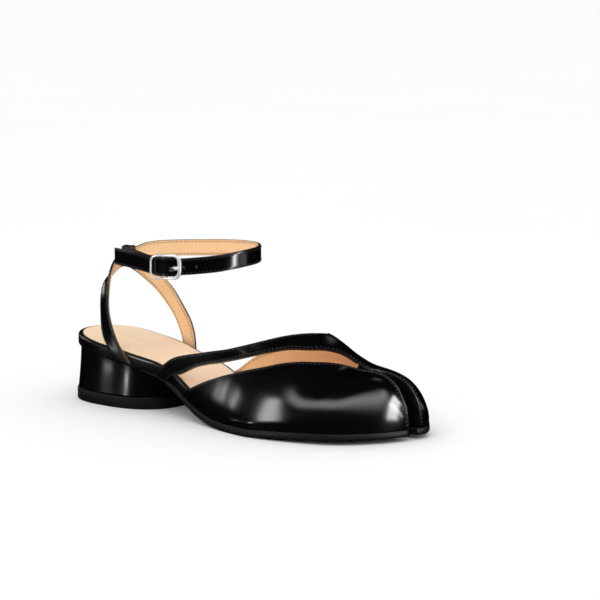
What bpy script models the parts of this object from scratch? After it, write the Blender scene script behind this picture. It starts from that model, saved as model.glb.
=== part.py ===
"""Split-toe ankle-strap sandal on a low block heel, right shoe.

The shoe's own frame: +X runs to the toes, +Y to the inner (medial) side of the foot, +Z up.
The sole stands on z = 0, and x = 0, y = 0 is the middle of the shoe's box.
All sizes below are in millimetres; meshes are written in metres.
"""
import math

import bmesh
import bpy
import numpy as np

MM = 0.001                  # metres in a millimetre

# ---- driving dimensions -------------------------------------------------------------------
CENTRE_X, CENTRE_Y = 0.514, -0.617      # middle of the shoe's box in the tables' own frame
GAP = 0.3                   # air between pieces that touch
WALL = 1.6                  # leather of the upper
FEATHER = 0.4               # how far the outsole stands out beyond the upper
SKIRT = 0.12                # share of each rib that stands upright against the footbed
VALLEY = 6.0                # half-width of the soft valley along the toe seams

SEAT_X, SEAT_A, SEAT_B, SEAT_POWER = -92.0, 31.0, 29.0, 2.15    # round of the heel seat
SEAT_LEAN = 0.03            # how steeply the seat leans to the inner side
HEEL_X, HEEL_A, HEEL_B, HEEL_POWER = -83.7, 36.7, 28.2, 2.5     # heel block in plan
TOP_PIECE = 7.2             # height of the rubber top piece
TOP_PIECE_PROUD = 0.6       # how far it stands out beyond the heel block
HEEL_FLARE = 1.7            # how much the heel block widens to its foot

STRAP_WIDTH, STRAP_THICK = 10.0, 1.7
SLING_THICK = 2.0
SLEEVE = (5.0, 20.0)        # tunnel at the back: from and to angle on the ankle loop
SLEEVE_WALL = 0.9

ANKLE_X, ANKLE_A, ANKLE_B = -39.5, 45.0, 36.0       # ankle loop: centre and half-axes
ANKLE_TOP, ANKLE_TILT, ANKLE_LEAN = 99.2, 0.065, 0.022  # top edge, its rise forwards, inwards
ANKLE_SAG = 1.0             # how far the buckle pulls the strap down
BUCKLE_ANGLE = 105.0        # where the buckle's bar lies on the loop, 0 = back, 90 = outer side
BUCKLE_LENGTH, BUCKLE_HEIGHT = 20.0, 15.4
WIRE = 1.05                 # radius of the buckle's wire
BAR = 0.7                   # radius of the buckle's centre bar
PRONG = 0.55                # radius of the prong
PRONG_HOLE = (1.7, 7.0)     # the prong's hole, counted from the bar towards the front
PRONG_RISE = -1.0           # height of the prong over the belt's middle line
BAR_OFFSET = 1.9            # the bar's middle, outside the loop's middle line
FRAME_BOW = (4.8, 3.4, 4.2) # the frame's back, middle and front, outside the same line
MM_PER_DEGREE = 0.785       # length of the loop by the buckle

# ---- tables -------------------------------------------------------------------------------
# Side view of the sole: x, underside of the footbed, height of its rim, outsole thickness.
PROFILE_COLUMNS = ("x", "bed", "rim", "sole")
PROFILE = (
    (-124.0, 35.6, 7.3, 1.0),
    (-108.0, 33.7, 7.2, 1.0),
    (-92.0, 31.1, 7.2, 1.0),
    (-78.0, 28.8, 7.7, 1.0),
    (-62.0, 26.5, 7.5, 1.0),
    (-44.0, 24.0, 6.6, 1.9),
    (-30.0, 20.0, 6.2, 3.9),
    (-18.0, 14.5, 5.6, 4.6),
    (-4.0, 8.9, 4.6, 4.6),
    (10.0, 5.6, 3.6, 4.5),
    (20.0, 4.9, 3.2, 4.6),
    (36.0, 4.9, 3.2, 4.6),
    (60.0, 6.0, 3.2, 4.4),
    (92.0, 6.8, 3.2, 4.2),
    (110.0, 7.0, 3.2, 4.1),
    (126.0, 7.0, 3.2, 4.1),
)

# Sections of the last. Each rib runs from the outer foot line over the top line to the inner
# foot line; past station 85 the top line parts into the crests of the two toe lobes.
SECTION_COLUMNS = ("station", "outer_x", "outer_y", "outer_crest_x", "outer_crest_y",
                   "outer_crest_z", "inner_crest_x", "inner_crest_y", "inner_crest_z",
                   "inner_x", "inner_y", "outer_full", "inner_full", "outer_hump", "inner_hump")
SECTIONS = (
    (-92.0, -92.0, -29.3, -92.0, 2.0, 92.8, -92.0, 2.0, 92.8, -92.0, 29.3, 1.5, 1.5, 0.0, 0.0),
    (-78.0, -78.0, -29.3, -78.0, 2.0, 87.8, -78.0, 2.0, 87.8, -78.0, 28.7, 1.5, 1.5, 0.0, 0.0),
    (-60.0, -60.0, -28.6, -60.0, 2.5, 82.8, -60.0, 2.5, 82.8, -60.0, 25.6, 1.5, 1.5, 0.0, 0.0),
    (-30.0, -30.0, -31.0, -30.0, 3.5, 73.8, -30.0, 3.5, 73.8, -30.0, 21.6, 1.5, 1.5, 0.0, 0.0),
    (0.0, 0.0, -37.5, 0.0, 5.0, 66.3, 0.0, 5.0, 66.3, 0.0, 27.0, 1.5, 1.5, 0.0, 0.0),
    (29.0, 28.0, -44.0, 29.0, 7.0, 60.8, 29.0, 7.0, 60.8, 28.0, 38.5, 1.5, 1.55, 0.0, 0.0),
    (60.0, 52.0, -44.6, 60.0, 9.0, 55.0, 60.0, 9.0, 55.0, 54.0, 44.0, 1.6, 1.52, 0.0, 0.2),
    (72.0, 64.0, -42.5, 71.0, 9.0, 48.8, 71.0, 9.0, 48.8, 66.0, 44.0, 1.75, 1.56, 0.1, 0.0),
    (85.0, 76.0, -39.2, 82.0, 8.0, 39.8, 82.0, 8.0, 39.8, 80.0, 42.6, 2.0, 2, 0.4, 1.5),
    (97.0, 90.0, -33.8, 94.0, 7.6, 38.0, 94.5, 8.3, 38.0, 94.0, 39.8, 2.2, 2.1, 0.8, 0.9),
    (107.5, 102.0, -25.0, 104.0, 6.2, 36.0, 105.5, 9.6, 36.1, 108.0, 35.0, 2.3, 1.95, 1.0, 0.4),
    (115.0, 110.5, -15.0, 110.8, 5.6, 32.2, 113.0, 10.0, 33.0, 117.0, 29.0, 2.4, 1.65, 0.8, 0.8),
    (123.0, 115.5, -7.0, 115.6, 5.5, 25.3, 118.5, 10.3, 27.3, 121.8, 22.5, 2.4, 1.75, 0.5, 0.1),
    (130.5, 118.6, -1.0, 119.2, 5.5, 17.8, 122.0, 10.5, 19.3, 123.6, 17.5, 2.4, 2.2, 0.3, 0.2),
    (139.0, 120.2, 3.2, 120.8, 5.6, 7.6, 123.2, 10.5, 8.0, 123.2, 13.2, 2.4, 2.3, 0.0, 0.0),
)

# Floor of the gusset between the toe lobes: station, x, y, z.
GUSSET_COLUMNS = ("station", "x", "y", "z")
GUSSET = (
    (85.0, 82.2, 6.3, 39.2),
    (97.0, 94.4, 6.9, 36.9),
    (107.5, 103.0, 7.8, 32.4),
    (115.0, 105.6, 7.8, 26.8),
    (123.0, 106.2, 7.9, 19.8),
    (130.5, 106.2, 7.9, 13.3),
    (139.0, 106.2, 7.9, 7.3),
)

# Seams of the gusset: station, distance of the outer and of the inner seam from the crest. The
# outer seam starts further forward, so that the open side ends in a short squared edge.
SEAM_COLUMNS = ("station", "outer", "inner")
SEAMS = (
    (82.8, 5.4, 1.6),
    (88.0, 5.2, 1.4),
    (96.0, 4.6, 1.0),
    (101.0, 3.0, 0.7),
    (106.0, 1.2, 0.8),
    (112.0, 0.8, 1.4),
    (139.0, 1.0, 1.6),
)
OUTER_SEAM_START, INNER_SEAM_START = 87.6, 82.8

# Edges of the upper: station, place across the rib (-1 outer foot line, 0 crest, 1 inner).
EDGE_COLUMNS = ("station", "across")
VAMP_TOP = ((-20.0, -1.0), (-16.9, -0.91), (-10.0, -0.775), (8.2, -0.605), (21.4, -0.535),
            (49.3, -0.43), (70.0, -0.311), (78.0, -0.193), (81.0, -0.137), (84.0, -0.095),
            (87.6, -0.058))
BAND_LOW = ((-34.4, -1.0), (-30.6, -0.90), (-22.3, -0.775), (-9.4, -0.62), (7.8, -0.51),
            (29.3, -0.40), (47.3, -0.315), (61.2, -0.246), (71.2, -0.132), (76.0, -0.057),
            (79.0, -0.017), (82.8, 0.028))
BAND_TOP = ((-44.5, -1.0), (-41.0, -0.91), (-37.3, -0.82), (-30.9, -0.715), (-9.8, -0.535),
            (10.2, -0.415), (29.3, -0.295), (37.7, -0.235), (44.9, -0.18), (50.9, -0.125),
            (55.7, -0.065), (58.4, 0.0))
INNER_TOP = ((-25.0, 1.0), (-22.5, 0.90), (-18.0, 0.79), (-8.0, 0.64), (12.0, 0.48),
             (30.0, 0.38), (42.0, 0.31), (50.0, 0.24), (55.0, 0.15), (58.4, 0.0))

# The sling from its outer foot round the back to its inner foot: the edge that is behind at
# the feet and below at the back, and the edge that is in front at the feet and above there.
SLING_COLUMNS = ("low_x", "low_y", "low_z", "high_x", "high_y", "high_z")
SLING = (
    (-72.8, -31.6, 30.2, -62.5, -31.6, 29.3),
    (-81.8, -31.6, 40.6, -69.4, -31.6, 37.4),
    (-85.8, -30.6, 49.8, -74.2, -31.6, 45.1),
    (-87.6, -29.0, 58.8, -77.6, -31.6, 53.3),
    (-89.0, -27.0, 67.3, -79.4, -31.6, 62.8),
    (-89.6, -23.5, 75.3, -80.4, -30.0, 73.3),
    (-89.2, -17.0, 80.3, -82.2, -26.0, 82.8),
    (-88.4, -9.0, 84.0, -84.8, -18.0, 90.3),
    (-87.6, -1.0, 81.8, -86.8, -7.5, 93.4),
    (-87.6, 6.5, 77.4, -87.2, 3.5, 92.2),
    (-86.6, 12.9, 72.0, -85.4, 13.2, 84.0),
    (-84.8, 19.3, 65.8, -82.0, 19.2, 77.1),
    (-82.1, 25.1, 58.0, -76.5, 24.8, 67.8),
    (-78.1, 28.0, 50.2, -70.5, 27.2, 57.4),
    (-74.4, 28.9, 42.4, -64.2, 28.2, 46.8),
    (-71.6, 29.0, 34.8, -60.6, 27.7, 36.4),
    (-71.0, 29.0, 29.0, -60.0, 27.5, 28.0),
)

# The belt from its sewn end at the buckle round the ankle and back over the bar to its tip:
# angle from the bar counted the way the belt runs, distance outside the loop's middle line,
# height over it.
BELT_COLUMNS = ("turn", "offset", "rise")
BELT = ((-3.5, 0.0, 0.0), (10.0, 0.0, 0.35), (20.0, 0.0, 1.2), (30.0, 0.0, 2.6),
        (40.0, 0.0, 3.5), (50.0, 0.0, 3.9), (60.0, 0.0, 3.6), (70.0, 0.0, 2.8), (80.0, 0.0, 1.7),
        (92.0, 0.0, 0.2), (100.0, 0.0, -0.5), (106.0, 0.0, -0.5), (112.0, 0.0, 0.0),
        (120.0, 0.0, 0.9), (130.0, 0.0, 1.1), (150.0, 0.0, 0.6), (175.0, 0.0, 0.0),
        (285.0, 0.0, 0.0), (305.0, 0.0, -0.4), (322.0, 0.0, -0.9), (336.0, 0.0, -0.9),
        (348.0, 1.3, -0.7), (354.5, 3.0, -0.3), (360.0, 3.8, -0.1), (366.0, 3.2, 0.1),
        (372.5, 2.35, 0.3), (380.0, 2.1, 1.2), (390.0, 2.1, 2.1),
        (400.0, 2.1, 2.4), (410.0, 2.3, 2.4), (416.0, 2.7, 2.3), (426.0, 4.6, 2.1))

# The prong: distance from the bar towards the front, distance outside the loop's middle line.
PRONG_COLUMNS = ("along", "offset")
PRONG_PATH = ((1.5, 1.95), (3.2, 2.3), (5.0, 3.8), (7.0, 5.5), (8.9, 6.2), (10.3, 6.1))

# Edges of the plates, from the lower face to the upper: distance inside the plan, the level
# it is counted from, height over that level.
SHAPE_COLUMNS = ("inside", "level", "over")
FOOTBED_SHAPE = ((0.8, "bed", 0.0), (0.0, "bed", 0.8), (0.0, "rim", -2.2), (0.45, "rim", -1.0),
                 (1.3, "rim", -0.25), (2.3, "rim", 0.0), (2.8, "rim", -1.2))
INSOLE_SHAPE = ((3.2, "rim", -0.85), (3.2, "rim", 0.1), (3.7, "rim", 0.4))
OUTSOLE_SHAPE = ((0.8, "tread", 0.0), (0.0, "tread", 0.7), (0.0, "bed", -0.35 - GAP),
                 (0.4, "bed", -GAP))


# ---- curves -------------------------------------------------------------------------------
def spline(knots, values, at):
    """Natural cubic spline: bends evenly from knot to knot and runs straight off both ends."""
    knots, values = np.asarray(knots, float), np.asarray(values, float)
    count = len(knots)
    steps = np.diff(knots)
    matrix, right = np.eye(count), np.zeros(values.shape)
    for i in range(1, count - 1):
        matrix[i, i - 1:i + 2] = steps[i - 1], 2 * (steps[i - 1] + steps[i]), steps[i]
        right[i] = 6 * ((values[i + 1] - values[i]) / steps[i]
                        - (values[i] - values[i - 1]) / steps[i - 1])
    bend = np.linalg.solve(matrix, right)
    at = np.asarray(at, float)
    i = np.clip(np.searchsorted(knots, at, side="right") - 1, 0, count - 2)
    step, before, after = steps[i], (knots[i + 1] - at) / steps[i], (at - knots[i]) / steps[i]
    if values.ndim > 1:
        step, before, after = step[..., None], before[..., None], after[..., None]
    return (before * values[i] + after * values[i + 1]
            + ((before**3 - before) * bend[i] + (after**3 - after) * bend[i + 1]) * step**2 / 6)


def steady(knots, values, at):
    """Cubic curve that never overshoots: level runs of the table stay level."""
    knots, values = np.asarray(knots, float), np.asarray(values, float)
    steps = np.diff(knots)
    slopes = np.diff(values) / steps
    ends = np.concatenate(([slopes[0]], np.zeros(len(knots) - 2), [slopes[-1]]))
    same = slopes[:-1] * slopes[1:] > 0
    first, second = 2 * steps[1:] + steps[:-1], steps[1:] + 2 * steps[:-1]
    safe = np.where(same, slopes[:-1] * slopes[1:], 1.0)
    mean = (first + second) * safe / (first * slopes[1:] + second * slopes[:-1] + (~same))
    ends[1:-1] = np.where(same, mean, 0.0)
    at = np.clip(np.asarray(at, float), knots[0], knots[-1])
    i = np.clip(np.searchsorted(knots, at, side="right") - 1, 0, len(knots) - 2)
    t = (at - knots[i]) / steps[i]
    return (values[i] * (1 + 2 * t) * (1 - t)**2 + values[i + 1] * t**2 * (3 - 2 * t)
            + steps[i] * (ends[i] * t * (1 - t)**2 - ends[i + 1] * t**2 * (1 - t)))


def columns(names, rows):
    """Table as a dictionary of its named columns."""
    return {name: np.array(values) for name, values in zip(names, zip(*rows))}


PROFILE_TABLE = columns(PROFILE_COLUMNS, PROFILE)
SECTION_TABLE = columns(SECTION_COLUMNS, SECTIONS)
GUSSET_TABLE = columns(GUSSET_COLUMNS, GUSSET)
SEAM_TABLE = columns(SEAM_COLUMNS, SEAMS)
FRONT, TOE = GUSSET_TABLE["station"][[0, -1]]   # where the crest parts in two, and the toe
CORNER = BAND_TOP[-1][0]                        # station of the throat's front corner


def profile(column, x):
    """Height of one line of the side view over the shoe's length."""
    return steady(PROFILE_TABLE["x"], PROFILE_TABLE[column], x)


def blend(x, start, end):
    """0 before start, 1 after end, with a soft step between."""
    t = np.clip((np.asarray(x, float) - start) / (end - start), 0, 1)
    return t * t * (3 - 2 * t)


def bed(x, y):
    """Height of the footbed's underside; the heel seat leans to the inner side."""
    lean = SEAT_LEAN * (y + SEAT_B) * (1 - blend(x, -60, -20))
    return profile("bed", x) - lean


def section(station, *names):
    """Values of the section table at a station, as an array with a row for each name."""
    values = np.stack([SECTION_TABLE[name] for name in names], axis=-1)
    return np.moveaxis(spline(SECTION_TABLE["station"], values, station), -1, 0)


def edge(table, station):
    """Place across the rib where an edge of the upper runs."""
    table = columns(EDGE_COLUMNS, table)
    return steady(table["station"], table["across"], station)


# ---- the last -----------------------------------------------------------------------------
def rib_ends(side, station):
    """Foot point and crest point of the ribs on one side, as arrays ending in x, y, z."""
    name = "outer" if side < 0 else "inner"
    foot_x, foot_y = section(station, name + "_x", name + "_y")
    own = section(station, name + "_crest_x", name + "_crest_y", name + "_crest_z")
    both = (section(station, "outer_crest_x", "outer_crest_y", "outer_crest_z")
            + section(station, "inner_crest_x", "inner_crest_y", "inner_crest_z")) / 2
    crest = np.where(station <= FRONT, both, own)
    foot = np.stack([foot_x, foot_y, bed(foot_x, foot_y)])
    return np.moveaxis(foot, 0, -1), np.moveaxis(crest, 0, -1)


def last_side(side, station, across):
    """Point of the last on one side: an upright skirt, then a superellipse rib to the crest.

    With t from foot to crest, the plan runs as 1 - cos(t)^(2/full) and the height as
    sin(t)^(2/full); a hump lifts the rib beside the toe valley.
    """
    foot, crest = rib_ends(side, station)
    name = "outer" if side < 0 else "inner"
    full, hump = section(station, name + "_full", name + "_hump")
    hump = np.maximum(hump, 0)
    lift = 1 - np.abs(across)
    skirt = np.minimum(profile("rim", foot[..., 0]), (crest[..., 2] - foot[..., 2]) / 2)
    turn = np.clip((lift - SKIRT) / (1 - SKIRT), 0, 1) * math.pi / 2
    inward = 1 - np.cos(turn)**(2 / full)
    upward = np.sin(turn)**(2 / full)
    plan = foot[..., :2] + (crest[..., :2] - foot[..., :2]) * inward[..., None]
    valley = np.exp(-(np.linalg.norm(crest[..., :2] - plan, axis=-1) / VALLEY)**2)
    base = foot[..., 2] + skirt
    height = np.where(lift < SKIRT, foot[..., 2] + skirt * lift / SKIRT,
                      base + (crest[..., 2] + hump - base) * upward - hump * valley)
    return np.concatenate([plan, height[..., None]], axis=-1)


def last(station, across):
    """Point of the last's surface at a station and a place across the rib."""
    station, across = np.broadcast_arrays(np.asarray(station, float), across)
    outer, inner = last_side(-1, station, across), last_side(1, station, across)
    return np.where((across < 0)[..., None], outer, inner)


def seam(side, station):
    """Place across the rib where the gusset is sewn in."""
    foot, crest = rib_ends(side, station)
    name = "outer" if side < 0 else "inner"
    full, = section(station, name + "_full")
    reach = np.linalg.norm((crest - foot)[..., :2], axis=-1)
    away = steady(SEAM_TABLE["station"], SEAM_TABLE[name], station)
    turn = np.arccos((away / reach)**(full / 2))
    return side * (1 - SKIRT) * (1 - turn / (math.pi / 2))


# ---- meshes -------------------------------------------------------------------------------
def new_material(name, colour, roughness, metallic=0.0):
    """Principled material of one colour."""
    material = bpy.data.materials.new(name)
    material.use_nodes = True
    shader = material.node_tree.nodes["Principled BSDF"]
    shader.inputs["Base Color"].default_value = (*colour, 1.0)
    shader.inputs["Roughness"].default_value = roughness
    shader.inputs["Metallic"].default_value = metallic
    return material


def to_metres(points):
    """Points of the tables' frame in metres, with the shoe's box centred on the origin."""
    return (np.asarray(points) - (CENTRE_X, CENTRE_Y, 0.0)) * MM


def new_object(name, points, faces, material, weld=False):
    """Object from points in millimetres, shaded smooth up to a sharp angle."""
    mesh = bpy.data.meshes.new(name)
    mesh.from_pydata(to_metres(points).tolist(), [], faces)
    work = bmesh.new()
    work.from_mesh(mesh)
    if weld:
        bmesh.ops.remove_doubles(work, verts=work.verts, dist=1e-6)
    else:
        bmesh.ops.recalc_face_normals(work, faces=work.faces)
    work.to_mesh(mesh)
    work.free()
    mesh.shade_smooth()
    mesh.set_sharp_from_angle(angle=math.radians(40))
    mesh.materials.append(material)
    item = bpy.data.objects.new(name, mesh)
    bpy.context.scene.collection.objects.link(item)
    return item


def grid_faces(rows, across, start=0):
    """Quads of a grid whose points are stored row by row."""
    return [(start + i * across + j, start + (i + 1) * across + j,
             start + (i + 1) * across + j + 1, start + i * across + j + 1)
            for i in range(rows - 1) for j in range(across - 1)]


def tube_faces(rings, around, closed):
    """Faces of a tube of rings; an open tube gets a cap at each end."""
    spans = rings if closed else rings - 1
    faces = [(i * around + j, i * around + (j + 1) % around,
              (i + 1) % rings * around + (j + 1) % around, (i + 1) % rings * around + j)
             for i in range(spans) for j in range(around)]
    if not closed:
        faces.append(tuple(range(around)))
        faces.append(tuple(range((rings - 1) * around, rings * around)))
    return faces


def sweep(name, centres, across, outward, outline, material, closed=False):
    """Solid with a section carried along a path.

    Each ring is the path's point plus the section's two coordinates times the unit vectors
    across and outward.
    """
    outline = np.asarray(outline, float)
    if outline.ndim == 2:
        outline = np.broadcast_to(outline, (len(centres),) + outline.shape)
    rings = (centres[:, None] + outline[..., :1] * across[:, None]
             + outline[..., 1:] * outward[:, None])
    faces = tube_faces(rings.shape[0], rings.shape[1], closed)
    return new_object(name, rings.reshape(-1, 3), faces, material)


def unit(vectors):
    """Vectors scaled to length one."""
    return vectors / np.linalg.norm(vectors, axis=-1, keepdims=True)


def strap_outline(width, thick, round_off=0.45):
    """Section of a strap: a rectangle with its four corners taken off."""
    w, t, r = width / 2, thick / 2, round_off
    return [(-w + r, -t), (w - r, -t), (w, -t + r), (w, t - r),
            (w - r, t), (-w + r, t), (-w, t - r), (-w, -t + r)]


def wire_outline(radius, sides=8):
    """Round section."""
    angles = np.arange(sides) * 2 * math.pi / sides
    return np.stack([np.cos(angles), np.sin(angles)], axis=-1) * radius


def bent_plate(name, rings, heights, cuts, material):
    """Closed plate over a plan outline, bent to the shoe's side view.

    The rings are outlines from the bottom face to the top face. They are stacked one unit
    apart, cut across at the given x, and each level then takes its own height over x and y.
    """
    count = len(rings[0])
    points = np.concatenate([np.column_stack([ring, np.full(count, float(level))])
                             for level, ring in enumerate(rings)])
    mesh = bpy.data.meshes.new(name)
    mesh.from_pydata(points.tolist(), [], tube_faces(len(rings), count, closed=False))
    work = bmesh.new()
    work.from_mesh(mesh)
    for x in cuts:
        bmesh.ops.bisect_plane(work, geom=work.verts[:] + work.edges[:] + work.faces[:],
                               dist=1e-4, plane_co=(x, 0, 0), plane_no=(1, 0, 0))
    caps = [face for face in work.faces if abs(face.normal.z) > 0.99 and len(face.verts) > 4]
    bmesh.ops.triangulate(work, faces=caps)
    bmesh.ops.recalc_face_normals(work, faces=work.faces)
    spots = np.array([vert.co for vert in work.verts])
    stack = np.stack([height(spots[:, 0], spots[:, 1]) for height in heights])
    lower = np.clip(np.floor(spots[:, 2] + 1e-6).astype(int), 0, len(rings) - 2)
    share = spots[:, 2] - lower
    pick = np.arange(len(spots))
    spots[:, 2] = stack[lower, pick] * (1 - share) + stack[lower + 1, pick] * share
    for vert, spot in zip(work.verts, to_metres(spots)):
        vert.co = spot
    work.to_mesh(mesh)
    work.free()
    mesh.shade_smooth()
    mesh.set_sharp_from_angle(angle=math.radians(40))
    mesh.materials.append(material)
    item = bpy.data.objects.new(name, mesh)
    bpy.context.scene.collection.objects.link(item)
    return item


def finish_boolean(target, tool, operation):
    """Apply an exact Boolean and take the tool away."""
    modifier = target.modifiers.new(operation.lower(), "BOOLEAN")
    modifier.object = tool
    modifier.operation = operation
    modifier.solver = "EXACT"
    with bpy.context.temp_override(object=target, active_object=target):
        bpy.ops.object.modifier_apply(modifier=modifier.name)
    bpy.data.objects.remove(tool)


# ---- plan outlines ------------------------------------------------------------------------
def superellipse(x, a, b, power, angles):
    """Points of a superellipse centred at (x, 0); the angle 0 points to the toes."""
    c, s = np.cos(angles), np.sin(angles)
    return np.stack([x + a * np.sign(c) * np.abs(c)**(2 / power),
                     b * np.sign(s) * np.abs(s)**(2 / power)], axis=-1)


def foot_line(side, stations, margin):
    """Plan of the foot line on one side, moved inwards by a margin that depends on x."""
    name = "outer" if side < 0 else "inner"
    line = np.moveaxis(section(stations, name + "_x", name + "_y"), 0, -1)
    ahead = unit(np.gradient(line, axis=0))
    inwards = np.stack([ahead[:, 1], -ahead[:, 0]], axis=-1) * side
    return line + inwards * margin(line[:, 0])[:, None]


def notch(half, end_x, outer_tip_x, inner_tip_x):
    """Toe notch from the outer lobe to the inner lobe: a slot with a round end."""
    middle = GUSSET_TABLE["y"][-1]
    angles = np.radians(np.linspace(-90, -270, 7))
    arc = np.stack([end_x + half * (1 + np.cos(angles)), middle + half * np.sin(angles)], -1)
    return np.concatenate([[(outer_tip_x, middle - half)], arc, [(inner_tip_x, middle + half)]])


BED_STATIONS = np.linspace(-78, 102, 25)
BED_TIP = 131               # last station of the footbed's lobes
TIP_SLOPE = 1.35            # how much faster the lobes' tips move in than their sides
SOLE_STATIONS = np.concatenate([np.linspace(-58, 102, 23), np.linspace(107, 139, 8)])
SEAT_ANGLES = np.radians(np.linspace(96, 264, 17))
# where the plates are cut across, so that they can bend
BED_CUTS = [-108, -92, *range(-76, 28, 8), 36, 48, 60, 76, 92, 104]
SOLE_CUTS = [*range(-56, 22, 6), 20, 36, 48, 60, 76, 92, 100, 108, 116]
HEEL_CUTS = [-108, -92, -78, -70, -64, -60, -56, -52]
BED_NOTCH = (6.1, 103.8, 115.4, 119.6)      # half-width, end, outer and inner lobe tip
SOLE_NOTCH = (2.2, 105.4, 120.0, 122.6)


def bed_outline(inside):
    """Closed plan of the footbed, inside its own edge by a distance.

    The seat's rim follows the last; forward of the waist the bed keeps clear of the upper.
    """
    def margin(x):
        return inside + (WALL + GAP + 0.3) * blend(x, -64, -46)
    seat = superellipse(SEAT_X, SEAT_A - inside, SEAT_B - inside, SEAT_POWER, SEAT_ANGLES)
    half, end, outer_tip, inner_tip = BED_NOTCH
    slot = notch(half + inside, end - inside, outer_tip - TIP_SLOPE * inside,
                 inner_tip - TIP_SLOPE * inside)
    toes = np.linspace(BED_STATIONS[-1], BED_TIP - 1.8 * inside, 6)[1:]
    stations = np.concatenate([BED_STATIONS, toes])
    return np.concatenate([foot_line(-1, stations, margin), slot,
                           foot_line(1, stations, margin)[::-1], seat])


def sole_outline(inside):
    """Closed plan of the outsole; its back edge follows the front of the heel."""
    def margin(x):
        return inside + 1.2 - (1.2 + FEATHER) * blend(x, -40, 0)
    half, end, outer_tip, inner_tip = SOLE_NOTCH
    slot = notch(half + inside, end - inside, outer_tip - inside, inner_tip - inside)
    breast = superellipse(HEEL_X + GAP + 0.4 + inside, HEEL_A, HEEL_B, HEEL_POWER,
                          np.radians(np.linspace(50, -60, 12)))
    return np.concatenate([foot_line(-1, SOLE_STATIONS, margin), slot,
                           foot_line(1, SOLE_STATIONS, margin)[::-1], breast])


# ---- pieces: bottom -----------------------------------------------------------------------
def under_bed(x, y):
    """Face that the outsole and the heel turn to the footbed."""
    return bed(x, y) - GAP


def rim_top(x, y):
    """Top of the footbed's rim."""
    return bed(x, y) + profile("rim", x)


def shaped_plate(name, plan, shape, cuts, material):
    """Plate with a plan outline and an edge shape; its levels follow the side view."""
    levels = {"bed": bed, "rim": rim_top,
              "tread": lambda x, y: under_bed(x, y) - profile("sole", x)}
    shape = columns(SHAPE_COLUMNS, shape)
    heights = [lambda x, y, start=levels[level], over=over: start(x, y) + over
               for level, over in zip(shape["level"], shape["over"])]
    return bent_plate(name, [plan(inside) for inside in shape["inside"]], heights, cuts, material)


def build_outsole(material):
    """Thin sole from the heel's front to the toes, flat under the ball."""
    return shaped_plate("outsole", sole_outline, OUTSOLE_SHAPE, SOLE_CUTS, material)


def build_footbed(material):
    """Wrapped sole body: a rounded rim round a shallow seat for the insole."""
    return shaped_plate("footbed", bed_outline, FOOTBED_SHAPE, BED_CUTS, material)


def build_insole(material):
    """Leather sock lying in the footbed's seat."""
    return shaped_plate("insole", bed_outline, INSOLE_SHAPE, BED_CUTS, material)


def heel_plan(grow):
    """Plan of the heel block, grown by a distance at the back and the sides."""
    angles = np.radians(np.arange(0, 360, 9))
    return superellipse(HEEL_X - grow / 2, HEEL_A + grow / 2, HEEL_B + grow, HEEL_POWER, angles)


def level(height):
    """Height function of a level face."""
    return lambda x, y: height + 0 * x


def build_heel_block(material):
    """Low block, oval in plan, with its top sloped to the seat."""
    foot = TOP_PIECE + GAP
    rings = [heel_plan(grow) for grow in (HEEL_FLARE - 0.4, HEEL_FLARE, HEEL_FLARE / 3, 0.0)]
    heights = [level(foot), level(foot + 0.4), lambda x, y: (foot + under_bed(x, y)) / 2,
               under_bed]
    return bent_plate("heel_block", rings, heights, HEEL_CUTS, material)


def build_heel_top_piece(material):
    """Rubber top piece with softened edges, flat on the ground."""
    full = HEEL_FLARE + TOP_PIECE_PROUD
    rings = [heel_plan(grow) for grow in (full - 0.7, full, full, full - 0.4)]
    heights = [level(z) for z in (0.0, 0.7, TOP_PIECE - 0.4, TOP_PIECE)]
    return bent_plate("heel_top_piece", rings, heights, [], material)


# ---- pieces: upper ------------------------------------------------------------------------
OUTER_STEPS = np.array([0.0, 0.05, 0.11, 0.2, 0.31, 0.43, 0.56, 0.69, 0.81, 0.91, 1.0])
BAND_STEPS = np.linspace(0, 1, 4)
INNER_STEPS = 1 - OUTER_STEPS[::-1]
GUSSET_STEPS = np.array([0.0, 0.1, 0.28, 0.5, 0.72, 0.9, 1.0])
GUSSET_DEPTH = np.array([0.0, 0.5, 0.93, 1.0, 0.93, 0.5, 0.0])
LONG_ROWS, SHORT_ROWS, BRIDGE_ROWS, TOE_ROWS = 19, 10, 6, 17
BRIDGE_PLACE = 0.24         # place across where the band's grid ends past the throat


def strip(low, high, steps):
    """Part of the last between two edges, each given as its stations and places across."""
    low, high = (np.stack(np.broadcast_arrays(*side))[..., None] for side in (low, high))
    return last(*(low * (1 - steps) + high * steps))


def outer_vamp(stations):
    """Outer side from the sole up to its top line, which ends at the outer seam."""
    top = edge(VAMP_TOP, stations)
    top[0] = -1 + SKIRT / 3
    top[-1] = seam(-1, OUTER_SEAM_START)
    return strip((stations, -1.0), (stations, top), OUTER_STEPS)


def instep_band(rise):
    """Band from the outer edge of the sole over the instep to the throat's corner."""
    low = BAND_LOW[0][0] + (CORNER - BAND_LOW[0][0]) * rise
    high = BAND_TOP[0][0] + (CORNER - BAND_TOP[0][0]) * rise
    return strip((low, edge(BAND_LOW, low)), (high, edge(BAND_TOP, high)), BAND_STEPS)


def inner_quarter(stations):
    """Inner side behind the throat's corner."""
    top = edge(INNER_TOP, stations)
    top[0] = 1 - SKIRT / 3
    return strip((stations, top), (stations, 1.0), INNER_STEPS)


def inner_side(stations, start, middle):
    """Inner side from an edge near the crest to the sole, with the band's columns first."""
    first = strip((stations, start), (stations, middle), BAND_STEPS)
    second = strip((stations, middle), (stations, 1.0), INNER_STEPS)
    return np.concatenate([first, second[:, 1:]], axis=1)


def bridge(stations):
    """Inner side between the throat's corner and the gusset."""
    low = edge(BAND_LOW, stations)
    low[-1] = seam(1, INNER_SEAM_START)
    return inner_side(stations, low, BRIDGE_PLACE * (stations - CORNER)
                      / (INNER_SEAM_START - CORNER))


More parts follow.
